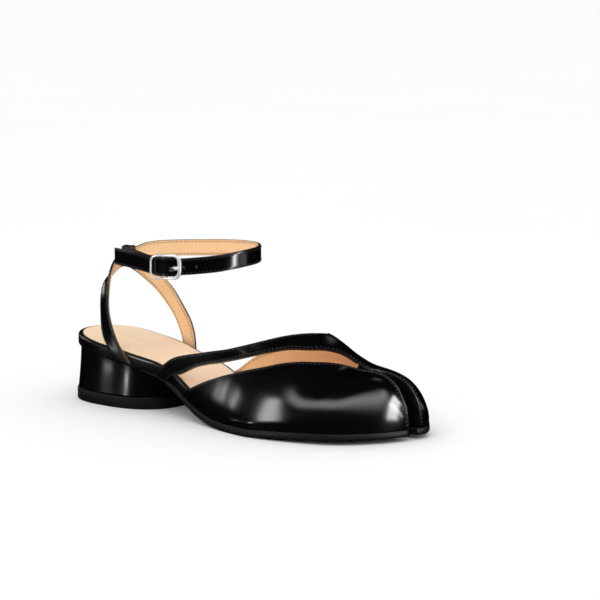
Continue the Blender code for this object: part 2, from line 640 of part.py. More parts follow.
def toe_lobes(run):
    """Outer lobe, gusset and inner lobe.

    The gusset runs straight from seam to seam and is then let down to its floor.
    """
    near, far = (start + (TOE - start) * run for start in (OUTER_SEAM_START, INNER_SEAM_START))
    outer = strip((near, -1.0), (near, seam(-1, near)), OUTER_STEPS)
    inner = inner_side(far, seam(1, far), BRIDGE_PLACE)
    steps, depth = GUSSET_STEPS[:, None], GUSSET_DEPTH[:, None]
    floor = np.stack([GUSSET_TABLE[name] for name in ("x", "y", "z")], axis=-1)
    floor = spline(GUSSET_TABLE["station"], floor, (near + far) / 2)[:, None]
    near, far = outer[:, -1:], inner[:, :1]
    gusset = near * (1 - steps) + far * steps + (floor - (near + far) / 2) * depth
    return np.concatenate([outer, gusset[:, 1:-1], inner], axis=1)


def upper_blocks():
    """Grids of points that make up the outside of the upper, row by row to the toes."""
    rise = np.linspace(0, 1, LONG_ROWS)**1.4
    start = VAMP_TOP[0][0]
    yield outer_vamp(start + (OUTER_SEAM_START - start) * rise)
    yield instep_band(rise)
    start = INNER_TOP[0][0]
    yield inner_quarter(start + (CORNER - start) * np.linspace(0, 1, SHORT_ROWS)**1.4)
    yield bridge(np.linspace(CORNER, INNER_SEAM_START, BRIDGE_ROWS))
    yield toe_lobes(np.linspace(0, 1, TOE_ROWS))


def build_upper(material):
    """One hollow shell: the outside worked out on the last, then given its wall inwards."""
    points, faces = [], []
    for block in upper_blocks():
        faces += grid_faces(block.shape[0], block.shape[1], sum(len(p) for p in points))
        points.append(block.reshape(-1, 3))
    upper = new_object("upper", np.concatenate(points), faces, material, weld=True)
    wall = upper.modifiers.new("wall", "SOLIDIFY")
    wall.thickness = WALL * MM
    wall.offset = -1
    wall.use_even_offset = False
    return upper


# ---- pieces: straps -----------------------------------------------------------------------
def ring_frames(path, hint, closed=False):
    """Unit vectors across and outward of a path, outward as near the hint as can be."""
    if closed:
        ahead = unit(np.roll(path, -1, axis=0) - np.roll(path, 1, axis=0))
    else:
        ahead = unit(np.gradient(path, axis=0))
    outward = unit(hint - ahead * np.sum(hint * ahead, axis=-1, keepdims=True))
    return np.cross(ahead, outward), outward


def build_sling(material):
    """Strap from the outer side of the seat round the back to the inner side."""
    rows = len(SLING)
    edges = columns(SLING_COLUMNS, SLING)
    low, high = (spline(np.arange(rows), np.stack([edges[side + axis] for axis in "xyz"], axis=-1),
                        np.linspace(0, rows - 1, 3 * rows - 2)) for side in ("low_", "high_"))
    centres, across = (low + high) / 2, unit(high - low)
    ahead = unit(np.gradient(centres, axis=0))
    outward = unit(np.cross(across, ahead))
    widths = np.linalg.norm(high - low, axis=-1)
    outlines = np.array([strap_outline(width, SLING_THICK) for width in widths])
    sling = sweep("heel_sling", centres, across, outward, outlines, material)
    finish_boolean(sling, build_sleeve(material), "UNION")
    return sling


def ankle_point(angle, offset, rise):
    """Point by the ankle loop: angle in degrees (0 back, 90 outer side, 180 front), distance
    outside the loop's middle line, and height over its half-width line."""
    turn = np.radians(angle)
    sag = ANKLE_SAG * np.exp(-(np.sin((turn - math.radians(BUCKLE_ANGLE)) / 2) / 0.33)**2)
    normal = unit(np.stack([-np.cos(turn) / ANKLE_A, -np.sin(turn) / ANKLE_B], axis=-1))
    plan = np.stack([ANKLE_X - ANKLE_A * np.cos(turn), -ANKLE_B * np.sin(turn)], axis=-1)
    height = (ANKLE_TOP + ANKLE_TILT * (plan[..., 0] - ANKLE_X) + ANKLE_LEAN * plan[..., 1]
              - STRAP_WIDTH / 2 - sag + rise)
    plan = plan + normal * np.asarray(offset)[..., None]
    outward = np.concatenate([normal, np.zeros_like(normal[..., :1])], axis=-1)
    return np.concatenate([plan, height[..., None]], axis=-1), outward


def belt_line(turns):
    """Middle line of the belt at angles counted from the bar, and its outward direction."""
    belt = columns(BELT_COLUMNS, BELT)
    offset, rise = (steady(belt["turn"], belt[name], turns) for name in ("offset", "rise"))
    return ankle_point(BUCKLE_ANGLE - turns, offset, rise)


def build_sleeve(material):
    """Short tunnel at the back of the sling that the ankle strap runs through."""
    angles = np.linspace(*SLEEVE, 7)
    centres, outward = belt_line(BUCKLE_ANGLE - angles)
    across, outward = ring_frames(centres, outward)
    width, thick = STRAP_WIDTH + 2 * GAP, STRAP_THICK + 2 * GAP
    sleeve = sweep("sleeve", centres, across, outward,
                   strap_outline(width + 2 * SLEEVE_WALL, thick + 2 * SLEEVE_WALL), material)
    angles = np.linspace(SLEEVE[0] - 2, SLEEVE[1] + 2, 9)
    centres, outward = belt_line(BUCKLE_ANGLE - angles)
    across, outward = ring_frames(centres, outward)
    hollow = sweep("hollow", centres, across, outward, strap_outline(width, thick), material)
    finish_boolean(sleeve, hollow, "DIFFERENCE")
    return sleeve


def build_ankle_strap(material):
    """One belt: sewn end under the bar, round the ankle, over the bar, free squared tip."""
    turns = np.concatenate([np.linspace(-3.5, 330, 56), np.linspace(336, 378, 22),
                            np.linspace(383, 426, 10)])
    centres, outward = belt_line(turns)
    across, outward = ring_frames(centres, outward)
    strap = sweep("ankle_strap", centres, across, outward,
                  strap_outline(STRAP_WIDTH, STRAP_THICK, 0.35), material)
    finish_boolean(strap, build_prong_hole(material), "DIFFERENCE")
    return strap


def build_prong_hole(material):
    """Cutter for the hole in the free end that the prong comes through."""
    turns = np.linspace(*PRONG_HOLE, 4) / MM_PER_DEGREE
    path, outward = ankle_point(BUCKLE_ANGLE + turns, np.full(4, 3.4), PRONG_RISE)
    across, outward = ring_frames(path, outward)
    return sweep("prong_hole", path, across, outward,
                 strap_outline(2 * (PRONG + GAP) + 0.2, 4.4, 0.3), material)


def build_buckle_frame(material):
    """Rounded frame bowed along the strap, with its bar under the free end."""
    angles = np.radians(np.arange(0, 360, 10))
    half_long, half_high = BUCKLE_LENGTH / 2 - WIRE, BUCKLE_HEIGHT / 2 - WIRE
    plan = superellipse(0.0, half_long, half_high, 4.5, angles)
    bow = steady((-half_long, 0.0, half_long), FRAME_BOW, plan[:, 0])
    path, outward = ankle_point(BUCKLE_ANGLE + plan[:, 0] / MM_PER_DEGREE, bow, plan[:, 1])
    across, outward = ring_frames(path, outward, closed=True)
    frame = sweep("buckle_frame", path, across, outward, wire_outline(WIRE), material, True)
    bar_rise = np.array([-half_high, half_high])
    bar_path, bar_out = ankle_point(np.full(2, BUCKLE_ANGLE), np.full(2, BAR_OFFSET), bar_rise)
    across, outward = ring_frames(bar_path, bar_out)
    bar = sweep("bar", bar_path, across, outward, wire_outline(BAR), material)
    finish_boolean(frame, bar, "UNION")
    return frame


def build_buckle_prong(material):
    """Pin from the bar up through the free end and onto the front of the frame."""
    prong = columns(PRONG_COLUMNS, PRONG_PATH)
    path, outward = ankle_point(BUCKLE_ANGLE + prong["along"] / MM_PER_DEGREE,
                                prong["offset"], PRONG_RISE)
    across, outward = ring_frames(path, outward)
    return sweep("buckle_prong", path, across, outward, wire_outline(PRONG), material)


def main():
    """Clear the scene and build the shoe."""
    for item in list(bpy.data.objects):
        bpy.data.objects.remove(item)
    black = new_material("black_leather", (0.012, 0.012, 0.014), 0.18)
    rubber = new_material("black_rubber", (0.02, 0.02, 0.022), 0.5)
    tan = new_material("tan_leather", (0.86, 0.66, 0.45), 0.5)
    silver = new_material("silver_metal", (0.8, 0.8, 0.8), 0.2, 1.0)
    build_outsole(rubber)
    build_footbed(black)
    build_insole(tan)
    build_upper(black)
    build_heel_block(black)
    build_heel_top_piece(rubber)
    build_sling(black)
    build_ankle_strap(black)
    build_buckle_frame(silver)
    build_buckle_prong(silver)


if __name__ == "__main__":
    main()
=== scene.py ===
"""Looks of a split-toe ankle-strap sandal on a low block heel, right shoe.

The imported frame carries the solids; the pieces made here dress each of them: polished black
leather with a tan lining, stitched edges, rubber soles and a silver buckle. All lengths below
are in millimetres in the shoe's own frame, +X to the toes and +Y to the inner side of the foot;
meshes are written in metres.
"""
import math
from functools import partial

import bmesh
import bpy
import numpy as np
from bpy.props import FloatProperty, FloatVectorProperty, PointerProperty
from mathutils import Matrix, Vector


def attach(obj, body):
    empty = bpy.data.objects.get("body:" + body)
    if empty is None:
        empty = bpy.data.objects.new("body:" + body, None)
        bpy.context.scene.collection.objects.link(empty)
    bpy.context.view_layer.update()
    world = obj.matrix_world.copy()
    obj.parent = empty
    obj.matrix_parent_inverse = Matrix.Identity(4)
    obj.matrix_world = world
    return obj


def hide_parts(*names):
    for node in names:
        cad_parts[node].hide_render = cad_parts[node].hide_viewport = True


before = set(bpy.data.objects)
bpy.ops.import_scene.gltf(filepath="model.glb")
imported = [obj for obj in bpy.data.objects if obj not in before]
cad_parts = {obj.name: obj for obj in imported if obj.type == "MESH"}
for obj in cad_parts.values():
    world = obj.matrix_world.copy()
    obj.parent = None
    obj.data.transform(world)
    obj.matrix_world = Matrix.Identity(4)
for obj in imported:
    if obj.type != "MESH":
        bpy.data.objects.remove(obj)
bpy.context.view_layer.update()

bl_info = {
    "name": "Split-toe sandal",
    "version": (1, 0, 0),
    "blender": (4, 5, 0),
    "location": "3D View > Sidebar > Sandal",
    "description": "Builds the leather, stitching, soles and buckle of a split-toe sandal",
    "category": "Add Mesh",
}

MM = 0.001                  # metres in a millimetre

# ---- driving dimensions -------------------------------------------------------------------
CENTRE_X, CENTRE_Y = 0.514, -0.617      # middle of the shoe's box in the tables' own frame
GAP = 0.3                   # air between pieces that touch
WALL = 1.6                  # leather of the upper with its lining
FEATHER = 0.4               # how far the outsole stands out beyond the upper
SKIRT = 0.12                # share of each rib that stands upright against the footbed
VALLEY = 6.0                # half-width of the soft valley along the toe seams

SEAT_X, SEAT_A, SEAT_B, SEAT_POWER = -92.0, 31.0, 29.0, 2.15    # round of the heel seat
SEAT_LEAN = 0.03            # how steeply the seat leans to the inner side
HEEL_X, HEEL_A, HEEL_B, HEEL_POWER = -83.7, 36.7, 28.2, 2.5     # heel block in plan
TOP_PIECE = 7.2             # height of the rubber top piece
TOP_PIECE_PROUD = 0.6       # how far it stands out beyond the heel block
HEEL_FLARE = 1.7            # how much the heel block widens to its foot

STRAP_WIDTH, STRAP_THICK = 10.0, 1.7
SLING_THICK = 2.0
SLEEVE = (5.0, 20.0)        # tunnel at the back: from and to angle on the ankle loop
SLEEVE_WALL = 0.9

ANKLE_X, ANKLE_A, ANKLE_B = -39.5, 45.0, 36.0       # ankle loop: centre and half-axes
ANKLE_TOP, ANKLE_TILT, ANKLE_LEAN = 99.2, 0.065, 0.022  # top edge, its rise forwards, inwards
ANKLE_SAG = 1.0             # how far the buckle pulls the strap down
BUCKLE_ANGLE = 105.0        # where the buckle's bar lies on the loop, 0 = back, 90 = outer side
BUCKLE_LENGTH, BUCKLE_HEIGHT = 20.0, 15.4
WIRE = 1.05                 # radius of the buckle's wire
BAR = 0.7                   # radius of the buckle's centre bar
PRONG = 0.55                # radius of the prong
PRONG_RISE = -1.0           # height of the prong over the belt's middle line
BAR_OFFSET = 1.9            # the bar's middle, outside the loop's middle line
FRAME_BOW = (4.8, 3.4, 4.2) # the frame's back, middle and front, outside the same line
MM_PER_DEGREE = 0.785       # length of the loop by the buckle

SIDES = {-1: "outer", 1: "inner"}       # how the tables name the two signs of y

# ---- tables -------------------------------------------------------------------------------
# Side view of the sole: x, underside of the footbed, height of its rim, outsole thickness.
PROFILE_COLUMNS = ("x", "bed", "rim", "sole")
PROFILE = (
    (-124.0, 35.6, 7.3, 1.0),
    (-108.0, 33.7, 7.2, 1.0),
    (-92.0, 31.1, 7.2, 1.0),
    (-78.0, 28.8, 7.7, 1.0),
    (-62.0, 26.5, 7.5, 1.0),
    (-44.0, 24.0, 6.6, 1.9),
    (-30.0, 20.0, 6.2, 3.9),
    (-18.0, 14.5, 5.6, 4.6),
    (-4.0, 8.9, 4.6, 4.6),
    (10.0, 5.6, 3.6, 4.5),
    (20.0, 4.9, 3.2, 4.6),
    (36.0, 4.9, 3.2, 4.6),
    (60.0, 6.0, 3.2, 4.4),
    (92.0, 6.8, 3.2, 4.2),
    (110.0, 7.0, 3.2, 4.1),
    (126.0, 7.0, 3.2, 4.1),
)

# Sections of the last. Each rib runs from the outer foot line over the top line to the inner
# foot line; past station 85 the top line parts into the crests of the two toe lobes.
SECTION_COLUMNS = ("station", "outer_x", "outer_y", "outer_crest_x", "outer_crest_y",
                   "outer_crest_z", "inner_crest_x", "inner_crest_y", "inner_crest_z",
                   "inner_x", "inner_y", "outer_full", "inner_full", "outer_hump", "inner_hump")
SECTIONS = (
    (-92.0, -92.0, -29.3, -92.0, 2.0, 92.8, -92.0, 2.0, 92.8, -92.0, 29.3, 1.5, 1.5, 0.0, 0.0),
    (-78.0, -78.0, -29.3, -78.0, 2.0, 87.8, -78.0, 2.0, 87.8, -78.0, 28.7, 1.5, 1.5, 0.0, 0.0),
    (-60.0, -60.0, -28.6, -60.0, 2.5, 82.8, -60.0, 2.5, 82.8, -60.0, 25.6, 1.5, 1.5, 0.0, 0.0),
    (-30.0, -30.0, -31.0, -30.0, 3.5, 73.8, -30.0, 3.5, 73.8, -30.0, 21.6, 1.5, 1.5, 0.0, 0.0),
    (0.0, 0.0, -37.5, 0.0, 5.0, 66.3, 0.0, 5.0, 66.3, 0.0, 27.0, 1.5, 1.5, 0.0, 0.0),
    (29.0, 28.0, -44.0, 29.0, 7.0, 60.8, 29.0, 7.0, 60.8, 28.0, 38.5, 1.5, 1.55, 0.0, 0.0),
    (60.0, 52.0, -44.6, 60.0, 9.0, 55.0, 60.0, 9.0, 55.0, 54.0, 44.0, 1.6, 1.52, 0.0, 0.2),
    (72.0, 64.0, -42.5, 71.0, 9.0, 48.8, 71.0, 9.0, 48.8, 66.0, 44.0, 1.75, 1.56, 0.1, 0.0),
    (85.0, 76.0, -39.2, 82.0, 8.0, 39.8, 82.0, 8.0, 39.8, 80.0, 42.6, 2.0, 2, 0.4, 1.5),
    (97.0, 90.0, -33.8, 94.0, 7.6, 38.0, 94.5, 8.3, 38.0, 94.0, 39.8, 2.2, 2.1, 0.8, 0.9),
    (107.5, 102.0, -25.0, 104.0, 6.2, 36.0, 105.5, 9.6, 36.1, 108.0, 35.0, 2.3, 1.95, 1.0, 0.4),
    (115.0, 110.5, -15.0, 110.8, 5.6, 32.2, 113.0, 10.0, 33.0, 117.0, 29.0, 2.4, 1.65, 0.8, 0.8),
    (123.0, 115.5, -7.0, 115.6, 5.5, 25.3, 118.5, 10.3, 27.3, 121.8, 22.5, 2.4, 1.75, 0.5, 0.1),
    (130.5, 118.6, -1.0, 119.2, 5.5, 17.8, 122.0, 10.5, 19.3, 123.6, 17.5, 2.4, 2.2, 0.3, 0.2),
    (139.0, 120.2, 3.2, 120.8, 5.6, 7.6, 123.2, 10.5, 8.0, 123.2, 13.2, 2.4, 2.3, 0.0, 0.0),
)

# Floor of the gusset between the toe lobes: station, x, y, z.
GUSSET_COLUMNS = ("station", "x", "y", "z")
GUSSET = (
    (85.0, 82.2, 6.3, 39.2),
    (97.0, 94.4, 6.9, 36.9),
    (107.5, 103.0, 7.8, 32.4),
    (115.0, 105.6, 7.8, 26.8),
    (123.0, 106.2, 7.9, 19.8),
    (130.5, 106.2, 7.9, 13.3),
    (139.0, 106.2, 7.9, 7.3),
)

# Seams of the gusset: station, distance of the outer and of the inner seam from the crest. The
# outer seam starts further forward, so that the open side ends in a short squared edge.
SEAM_COLUMNS = ("station", "outer", "inner")
SEAMS = (
    (82.8, 5.4, 1.6),
    (88.0, 5.2, 1.4),
    (96.0, 4.6, 1.0),
    (101.0, 3.0, 0.7),
    (106.0, 1.2, 0.8),
    (112.0, 0.8, 1.4),
    (139.0, 1.0, 1.6),
)
OUTER_SEAM_START, INNER_SEAM_START = 87.6, 82.8

# Edges of the upper: station, place across the rib (-1 outer foot line, 0 crest, 1 inner).
EDGE_COLUMNS = ("station", "across")
VAMP_TOP = ((-20.0, -1.0), (-16.9, -0.91), (-10.0, -0.775), (8.2, -0.605), (21.4, -0.535),
            (49.3, -0.43), (70.0, -0.311), (78.0, -0.193), (81.0, -0.137), (84.0, -0.095),
            (87.6, -0.058))
BAND_LOW = ((-34.4, -1.0), (-30.6, -0.90), (-22.3, -0.775), (-9.4, -0.62), (7.8, -0.51),
            (29.3, -0.40), (47.3, -0.315), (61.2, -0.246), (71.2, -0.132), (76.0, -0.057),
            (79.0, -0.017), (82.8, 0.028))
BAND_TOP = ((-44.5, -1.0), (-41.0, -0.91), (-37.3, -0.82), (-30.9, -0.715), (-9.8, -0.535),
            (10.2, -0.415), (29.3, -0.295), (37.7, -0.235), (44.9, -0.18), (50.9, -0.125),
            (55.7, -0.065), (58.4, 0.0))
INNER_TOP = ((-25.0, 1.0), (-22.5, 0.90), (-18.0, 0.79), (-8.0, 0.64), (12.0, 0.48),
             (30.0, 0.38), (42.0, 0.31), (50.0, 0.24), (55.0, 0.15), (58.4, 0.0))

# The sling from its outer foot round the back to its inner foot: x, y and z of the edge that is
# behind at the feet and below at the back, then of the edge that is in front and above.
SLING = (
    (-72.8, -31.6, 30.2, -62.5, -31.6, 29.3),
    (-81.8, -31.6, 40.6, -69.4, -31.6, 37.4),
    (-85.8, -30.6, 49.8, -74.2, -31.6, 45.1),
    (-87.6, -29.0, 58.8, -77.6, -31.6, 53.3),
    (-89.0, -27.0, 67.3, -79.4, -31.6, 62.8),
    (-89.6, -23.5, 75.3, -80.4, -30.0, 73.3),
    (-89.2, -17.0, 80.3, -82.2, -26.0, 82.8),
    (-88.4, -9.0, 84.0, -84.8, -18.0, 90.3),
    (-87.6, -1.0, 81.8, -86.8, -7.5, 93.4),
    (-87.6, 6.5, 77.4, -87.2, 3.5, 92.2),
    (-86.6, 12.9, 72.0, -85.4, 13.2, 84.0),
    (-84.8, 19.3, 65.8, -82.0, 19.2, 77.1),
    (-82.1, 25.1, 58.0, -76.5, 24.8, 67.8),
    (-78.1, 28.0, 50.2, -70.5, 27.2, 57.4),
    (-74.4, 28.9, 42.4, -64.2, 28.2, 46.8),
    (-71.6, 29.0, 34.8, -60.6, 27.7, 36.4),
    (-71.0, 29.0, 29.0, -60.0, 27.5, 28.0),
)

# The belt from its sewn end at the buckle round the ankle and back over the bar to its tip:
# angle from the bar counted the way the belt runs, distance outside the loop's middle line,
# height over it.
BELT_COLUMNS = ("turn", "offset", "rise")
BELT = ((-3.5, 0.0, 0.0), (10.0, 0.0, 0.35), (20.0, 0.0, 1.2), (30.0, 0.0, 2.6),
        (40.0, 0.0, 3.5), (50.0, 0.0, 3.9), (60.0, 0.0, 3.6), (70.0, 0.0, 2.8), (80.0, 0.0, 1.7),
        (92.0, 0.0, 0.2), (100.0, 0.0, -0.5), (106.0, 0.0, -0.5), (112.0, 0.0, 0.0),
        (120.0, 0.0, 0.9), (130.0, 0.0, 1.1), (150.0, 0.0, 0.6), (175.0, 0.0, 0.0),
        (285.0, 0.0, 0.0), (305.0, 0.0, -0.4), (322.0, 0.0, -0.9), (336.0, 0.0, -0.9),
        (348.0, 1.3, -0.7), (354.5, 3.0, -0.3), (360.0, 3.8, -0.1), (366.0, 3.2, 0.1),
        (372.5, 2.35, 0.3), (380.0, 2.1, 1.2), (390.0, 2.1, 2.1),
        (400.0, 2.1, 2.4), (410.0, 2.3, 2.4), (416.0, 2.7, 2.3), (426.0, 4.6, 2.1))

# ---- curves -------------------------------------------------------------------------------
def spline(knots, values, at):
    """Natural cubic spline: bends evenly from knot to knot and runs straight off both ends."""
    knots, values = np.asarray(knots, float), np.asarray(values, float)
    count = len(knots)
    steps = np.diff(knots)
    matrix, right = np.eye(count), np.zeros(values.shape)
    for i in range(1, count - 1):
        matrix[i, i - 1:i + 2] = steps[i - 1], 2 * (steps[i - 1] + steps[i]), steps[i]
        right[i] = 6 * ((values[i + 1] - values[i]) / steps[i]
                        - (values[i] - values[i - 1]) / steps[i - 1])
    bend = np.linalg.solve(matrix, right)
    at = np.asarray(at, float)
    i = np.clip(np.searchsorted(knots, at, side="right") - 1, 0, count - 2)
    step, before, after = steps[i], (knots[i + 1] - at) / steps[i], (at - knots[i]) / steps[i]
    if values.ndim > 1:
        step, before, after = step[..., None], before[..., None], after[..., None]
    return (before * values[i] + after * values[i + 1]
            + ((before**3 - before) * bend[i] + (after**3 - after) * bend[i + 1]) * step**2 / 6)


def steady(knots, values, at):
    """Cubic curve that never overshoots: level runs of the table stay level."""
    knots, values = np.asarray(knots, float), np.asarray(values, float)
    steps = np.diff(knots)
    slopes = np.diff(values) / steps
    ends = np.concatenate(([slopes[0]], np.zeros(len(knots) - 2), [slopes[-1]]))
    same = slopes[:-1] * slopes[1:] > 0
    first, second = 2 * steps[1:] + steps[:-1], steps[1:] + 2 * steps[:-1]
    safe = np.where(same, slopes[:-1] * slopes[1:], 1.0)
    mean = (first + second) * safe / (first * slopes[1:] + second * slopes[:-1] + (~same))
    ends[1:-1] = np.where(same, mean, 0.0)
    at = np.clip(np.asarray(at, float), knots[0], knots[-1])
    i = np.clip(np.searchsorted(knots, at, side="right") - 1, 0, len(knots) - 2)
    t = (at - knots[i]) / steps[i]
    return (values[i] * (1 + 2 * t) * (1 - t)**2 + values[i + 1] * t**2 * (3 - 2 * t)
            + steps[i] * (ends[i] * t * (1 - t)**2 - ends[i + 1] * t**2 * (1 - t)))


def columns(names, rows):
    """Table as a dictionary of its named columns."""
    return {name: np.array(values) for name, values in zip(names, zip(*rows))}


PROFILE_TABLE = columns(PROFILE_COLUMNS, PROFILE)
SECTION_TABLE = columns(SECTION_COLUMNS, SECTIONS)
GUSSET_TABLE = columns(GUSSET_COLUMNS, GUSSET)
SEAM_TABLE = columns(SEAM_COLUMNS, SEAMS)
FRONT, TOE = GUSSET_TABLE["station"][[0, -1]]   # where the crest parts in two, and the toe
CORNER = BAND_TOP[-1][0]                        # station of the throat's front corner


def profile(column, x):
    """Height of one line of the side view over the shoe's length."""
    return steady(PROFILE_TABLE["x"], PROFILE_TABLE[column], x)


def blend(x, start, end):
    """0 before start, 1 after end, with a soft step between."""
    t = np.clip((np.asarray(x, float) - start) / (end - start), 0, 1)
    return t * t * (3 - 2 * t)


def bed(x, y):
    """Height of the footbed's underside; the heel seat leans to the inner side."""
    lean = SEAT_LEAN * (y + SEAT_B) * (1 - blend(x, -60, -20))
    return profile("bed", x) - lean


def section(station, *names):
    """Values of the section table at a station, as an array with a row for each name."""
    values = np.stack([SECTION_TABLE[name] for name in names], axis=-1)
    return np.moveaxis(spline(SECTION_TABLE["station"], values, station), -1, 0)


def edge(table, station):
    """Place across the rib where an edge of the upper runs."""
    table = columns(EDGE_COLUMNS, table)
    return steady(table["station"], table["across"], station)


# ---- the last -----------------------------------------------------------------------------
def rib_ends(side, station):
    """Foot point and crest point of the ribs on one side, as arrays ending in x, y, z."""
    name = SIDES[side]
    foot_x, foot_y = section(station, name + "_x", name + "_y")
    own = section(station, name + "_crest_x", name + "_crest_y", name + "_crest_z")
    both = (section(station, "outer_crest_x", "outer_crest_y", "outer_crest_z")
            + section(station, "inner_crest_x", "inner_crest_y", "inner_crest_z")) / 2
    crest = np.where(station <= FRONT, both, own)
    foot = np.stack([foot_x, foot_y, bed(foot_x, foot_y)])
    return np.moveaxis(foot, 0, -1), np.moveaxis(crest, 0, -1)


def last_side(side, station, across):
    """Point of the last on one side: an upright skirt, then a superellipse rib to the crest.

    With t from foot to crest, the plan runs as 1 - cos(t)^(2/full) and the height as
    sin(t)^(2/full); a hump lifts the rib beside the toe valley.
    """
    foot, crest = rib_ends(side, station)
    name = SIDES[side]
    full, hump = section(station, name + "_full", name + "_hump")
    hump = np.maximum(hump, 0)
    lift = 1 - np.abs(across)
    skirt = np.minimum(profile("rim", foot[..., 0]), (crest[..., 2] - foot[..., 2]) / 2)
    turn = np.clip((lift - SKIRT) / (1 - SKIRT), 0, 1) * math.pi / 2
    inward = 1 - np.cos(turn)**(2 / full)
    upward = np.sin(turn)**(2 / full)
    plan = foot[..., :2] + (crest[..., :2] - foot[..., :2]) * inward[..., None]
    valley = np.exp(-(np.linalg.norm(crest[..., :2] - plan, axis=-1) / VALLEY)**2)
    base = foot[..., 2] + skirt
    height = np.where(lift < SKIRT, foot[..., 2] + skirt * lift / SKIRT,
                      base + (crest[..., 2] + hump - base) * upward - hump * valley)
    return np.concatenate([plan, height[..., None]], axis=-1)


def last(station, across):
    """Point of the last's surface at a station and a place across the rib."""
    station, across = np.broadcast_arrays(np.asarray(station, float), across)
    outer, inner = last_side(-1, station, across), last_side(1, station, across)
    return np.where((across < 0)[..., None], outer, inner)


def seam(side, station):
    """Place across the rib where the gusset is sewn in."""
    foot, crest = rib_ends(side, station)
    name = SIDES[side]
    full, = section(station, name + "_full")
    reach = np.linalg.norm((crest - foot)[..., :2], axis=-1)
    away = steady(SEAM_TABLE["station"], SEAM_TABLE[name], station)
    turn = np.arccos((away / reach)**(full / 2))
    return side * (1 - SKIRT) * (1 - turn / (math.pi / 2))


NUDGE_AHEAD, NUDGE_ACROSS = 0.4, 0.004      # small steps on the last, for its directions of run


def last_normal(station, across):
    """Unit normal of the last, pointing out of the shoe, from its two directions of run."""
    ahead = last(station + NUDGE_AHEAD, across) - last(station - NUDGE_AHEAD, across)
    return unit(np.cross(ahead, run_across(station, across)))


def run_across(station, across):
    """Way between the two points of the last that lie a small step across from a place."""
    return (last_side_of(station, across, NUDGE_ACROSS)
            - last_side_of(station, across, -NUDGE_ACROSS))


def last_side_of(station, across, move):
    """Point of the last beside a place, kept on that place's own side of the crest."""
    station, across = np.broadcast_arrays(np.asarray(station, float), across)
    outer = last_side(-1, station, np.clip(across + move, -1, 0))
    inner = last_side(1, station, np.clip(across + move, 0, 1))
    return np.where((across < 0)[..., None], outer, inner)


# ---- meshes -------------------------------------------------------------------------------
def unit(vectors):
    """Vectors scaled to length one."""
    return vectors / np.maximum(np.linalg.norm(vectors, axis=-1, keepdims=True), 1e-9)


def to_metres(points):
    """Points of the tables' frame in metres, with the shoe's box centred on the origin."""
    return (np.asarray(points) - (CENTRE_X, CENTRE_Y, 0.0)) * MM


def neighbours(index):
    """Quads that join a grid of point numbers to their neighbours in both directions."""
    return np.stack([index[:-1, :-1], index[1:, :-1], index[1:, 1:], index[:-1, 1:]], -1)


def placed(name, data):
    """New object in the scene for a mesh, a light or a camera."""
    item = bpy.data.objects.new(name, data)
    bpy.context.scene.collection.objects.link(item)
    return item


class Skin:
    """Grids of points gathered into one mesh, each with a material and a value that falls to 0 at
    the edges, for wear and a painted edge highlight.
    """

    def __init__(self):
        self.points, self.quads, self.finish, self.wear_and_edge_highlight, self.count = [], [], [], [], 0

    def grid(self, points, finish=0, wear_and_edge_highlight=1.0, wrap_rows=False, wrap_columns=False):
        """Add a grid of points; quads join neighbours in both directions, and ends if wrapped."""
        rows, steps = points.shape[:2]
        index = np.arange(rows * steps).reshape(rows, steps) + self.count
        if wrap_rows:
            index = np.concatenate([index, index[:1]])
        if wrap_columns:
            index = np.concatenate([index, index[:, :1]], axis=1)
        quads = neighbours(index)
        finish = np.broadcast_to(finish, quads.shape[:2])
        self.points.append(points.reshape(-1, 3))
        self.quads.append(quads.reshape(-1, 4))
        self.finish.append(finish.reshape(-1))
        self.wear_and_edge_highlight.append(np.broadcast_to(wear_and_edge_highlight, (rows, steps)).reshape(-1))
        self.count += rows * steps
        return self

    def build(self, name, materials, closed=True, weld=0.004, sharp=40.0):
        """Mesh object of all the grids, welded where they meet and smooth up to an angle."""
        points = to_metres(np.concatenate(self.points))
        quads = np.concatenate(self.quads)
        mesh = bpy.data.meshes.new(name)
        mesh.from_pydata(points.tolist(), [], quads.tolist())
        mesh.polygons.foreach_set("material_index", np.concatenate(self.finish).astype(np.int32))
        wear_and_edge_highlight = mesh.attributes.new("wear_and_edge_highlight", "FLOAT", "POINT")
        wear_and_edge_highlight.data.foreach_set("value", np.concatenate(self.wear_and_edge_highlight).astype(np.float32))
        work = bmesh.new()
        work.from_mesh(mesh)
        bmesh.ops.remove_doubles(work, verts=work.verts, dist=weld * MM)
        bmesh.ops.dissolve_degenerate(work, edges=work.edges, dist=1e-7)
        if closed:
            bmesh.ops.recalc_face_normals(work, faces=work.faces)
        work.to_mesh(mesh)
        work.free()
        mesh.shade_smooth()
        if sharp:
            mesh.set_sharp_from_angle(angle=math.radians(sharp))
        for material in materials:
            mesh.materials.append(material)
        return placed(name, mesh)


def dress(item, slot, *nodes):
    """Let a finished piece ride the shoe and hide the solids it stands for; slot, the name of its
    finish, is not used.
    """
    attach(item, "root")
    if nodes:
        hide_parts(*nodes)
    return item


def modifier(item, kind, **values):
    """Add a modifier with the given settings."""
    made = item.modifiers.new(kind.lower(), kind)
    for key, value in values.items():
        setattr(made, key, value)
    return made


def resample(path, step):
    """Fractional row numbers that cut a path into equal steps of arc length."""
    run = np.concatenate([[0.0], np.cumsum(np.linalg.norm(np.diff(path, axis=0), axis=1))])
    count = max(2, int(round(run[-1] / step)) + 1)
    return np.interp(np.linspace(0, run[-1], count), run, np.arange(len(path)))


def pick(values, places):
    """Rows of an array read at fractional places, straight between neighbours."""
    low = np.clip(np.floor(places).astype(int), 0, len(values) - 2)
    share = (places - low).reshape(-1, *([1] * (values.ndim - 1)))
    return values[low] * (1 - share) + values[low + 1] * share


STITCH_RINGS, STITCH_SIDES = 7, 6
STITCH_SINK = 0.25          # share of a stitch's thickness that lies in the leather


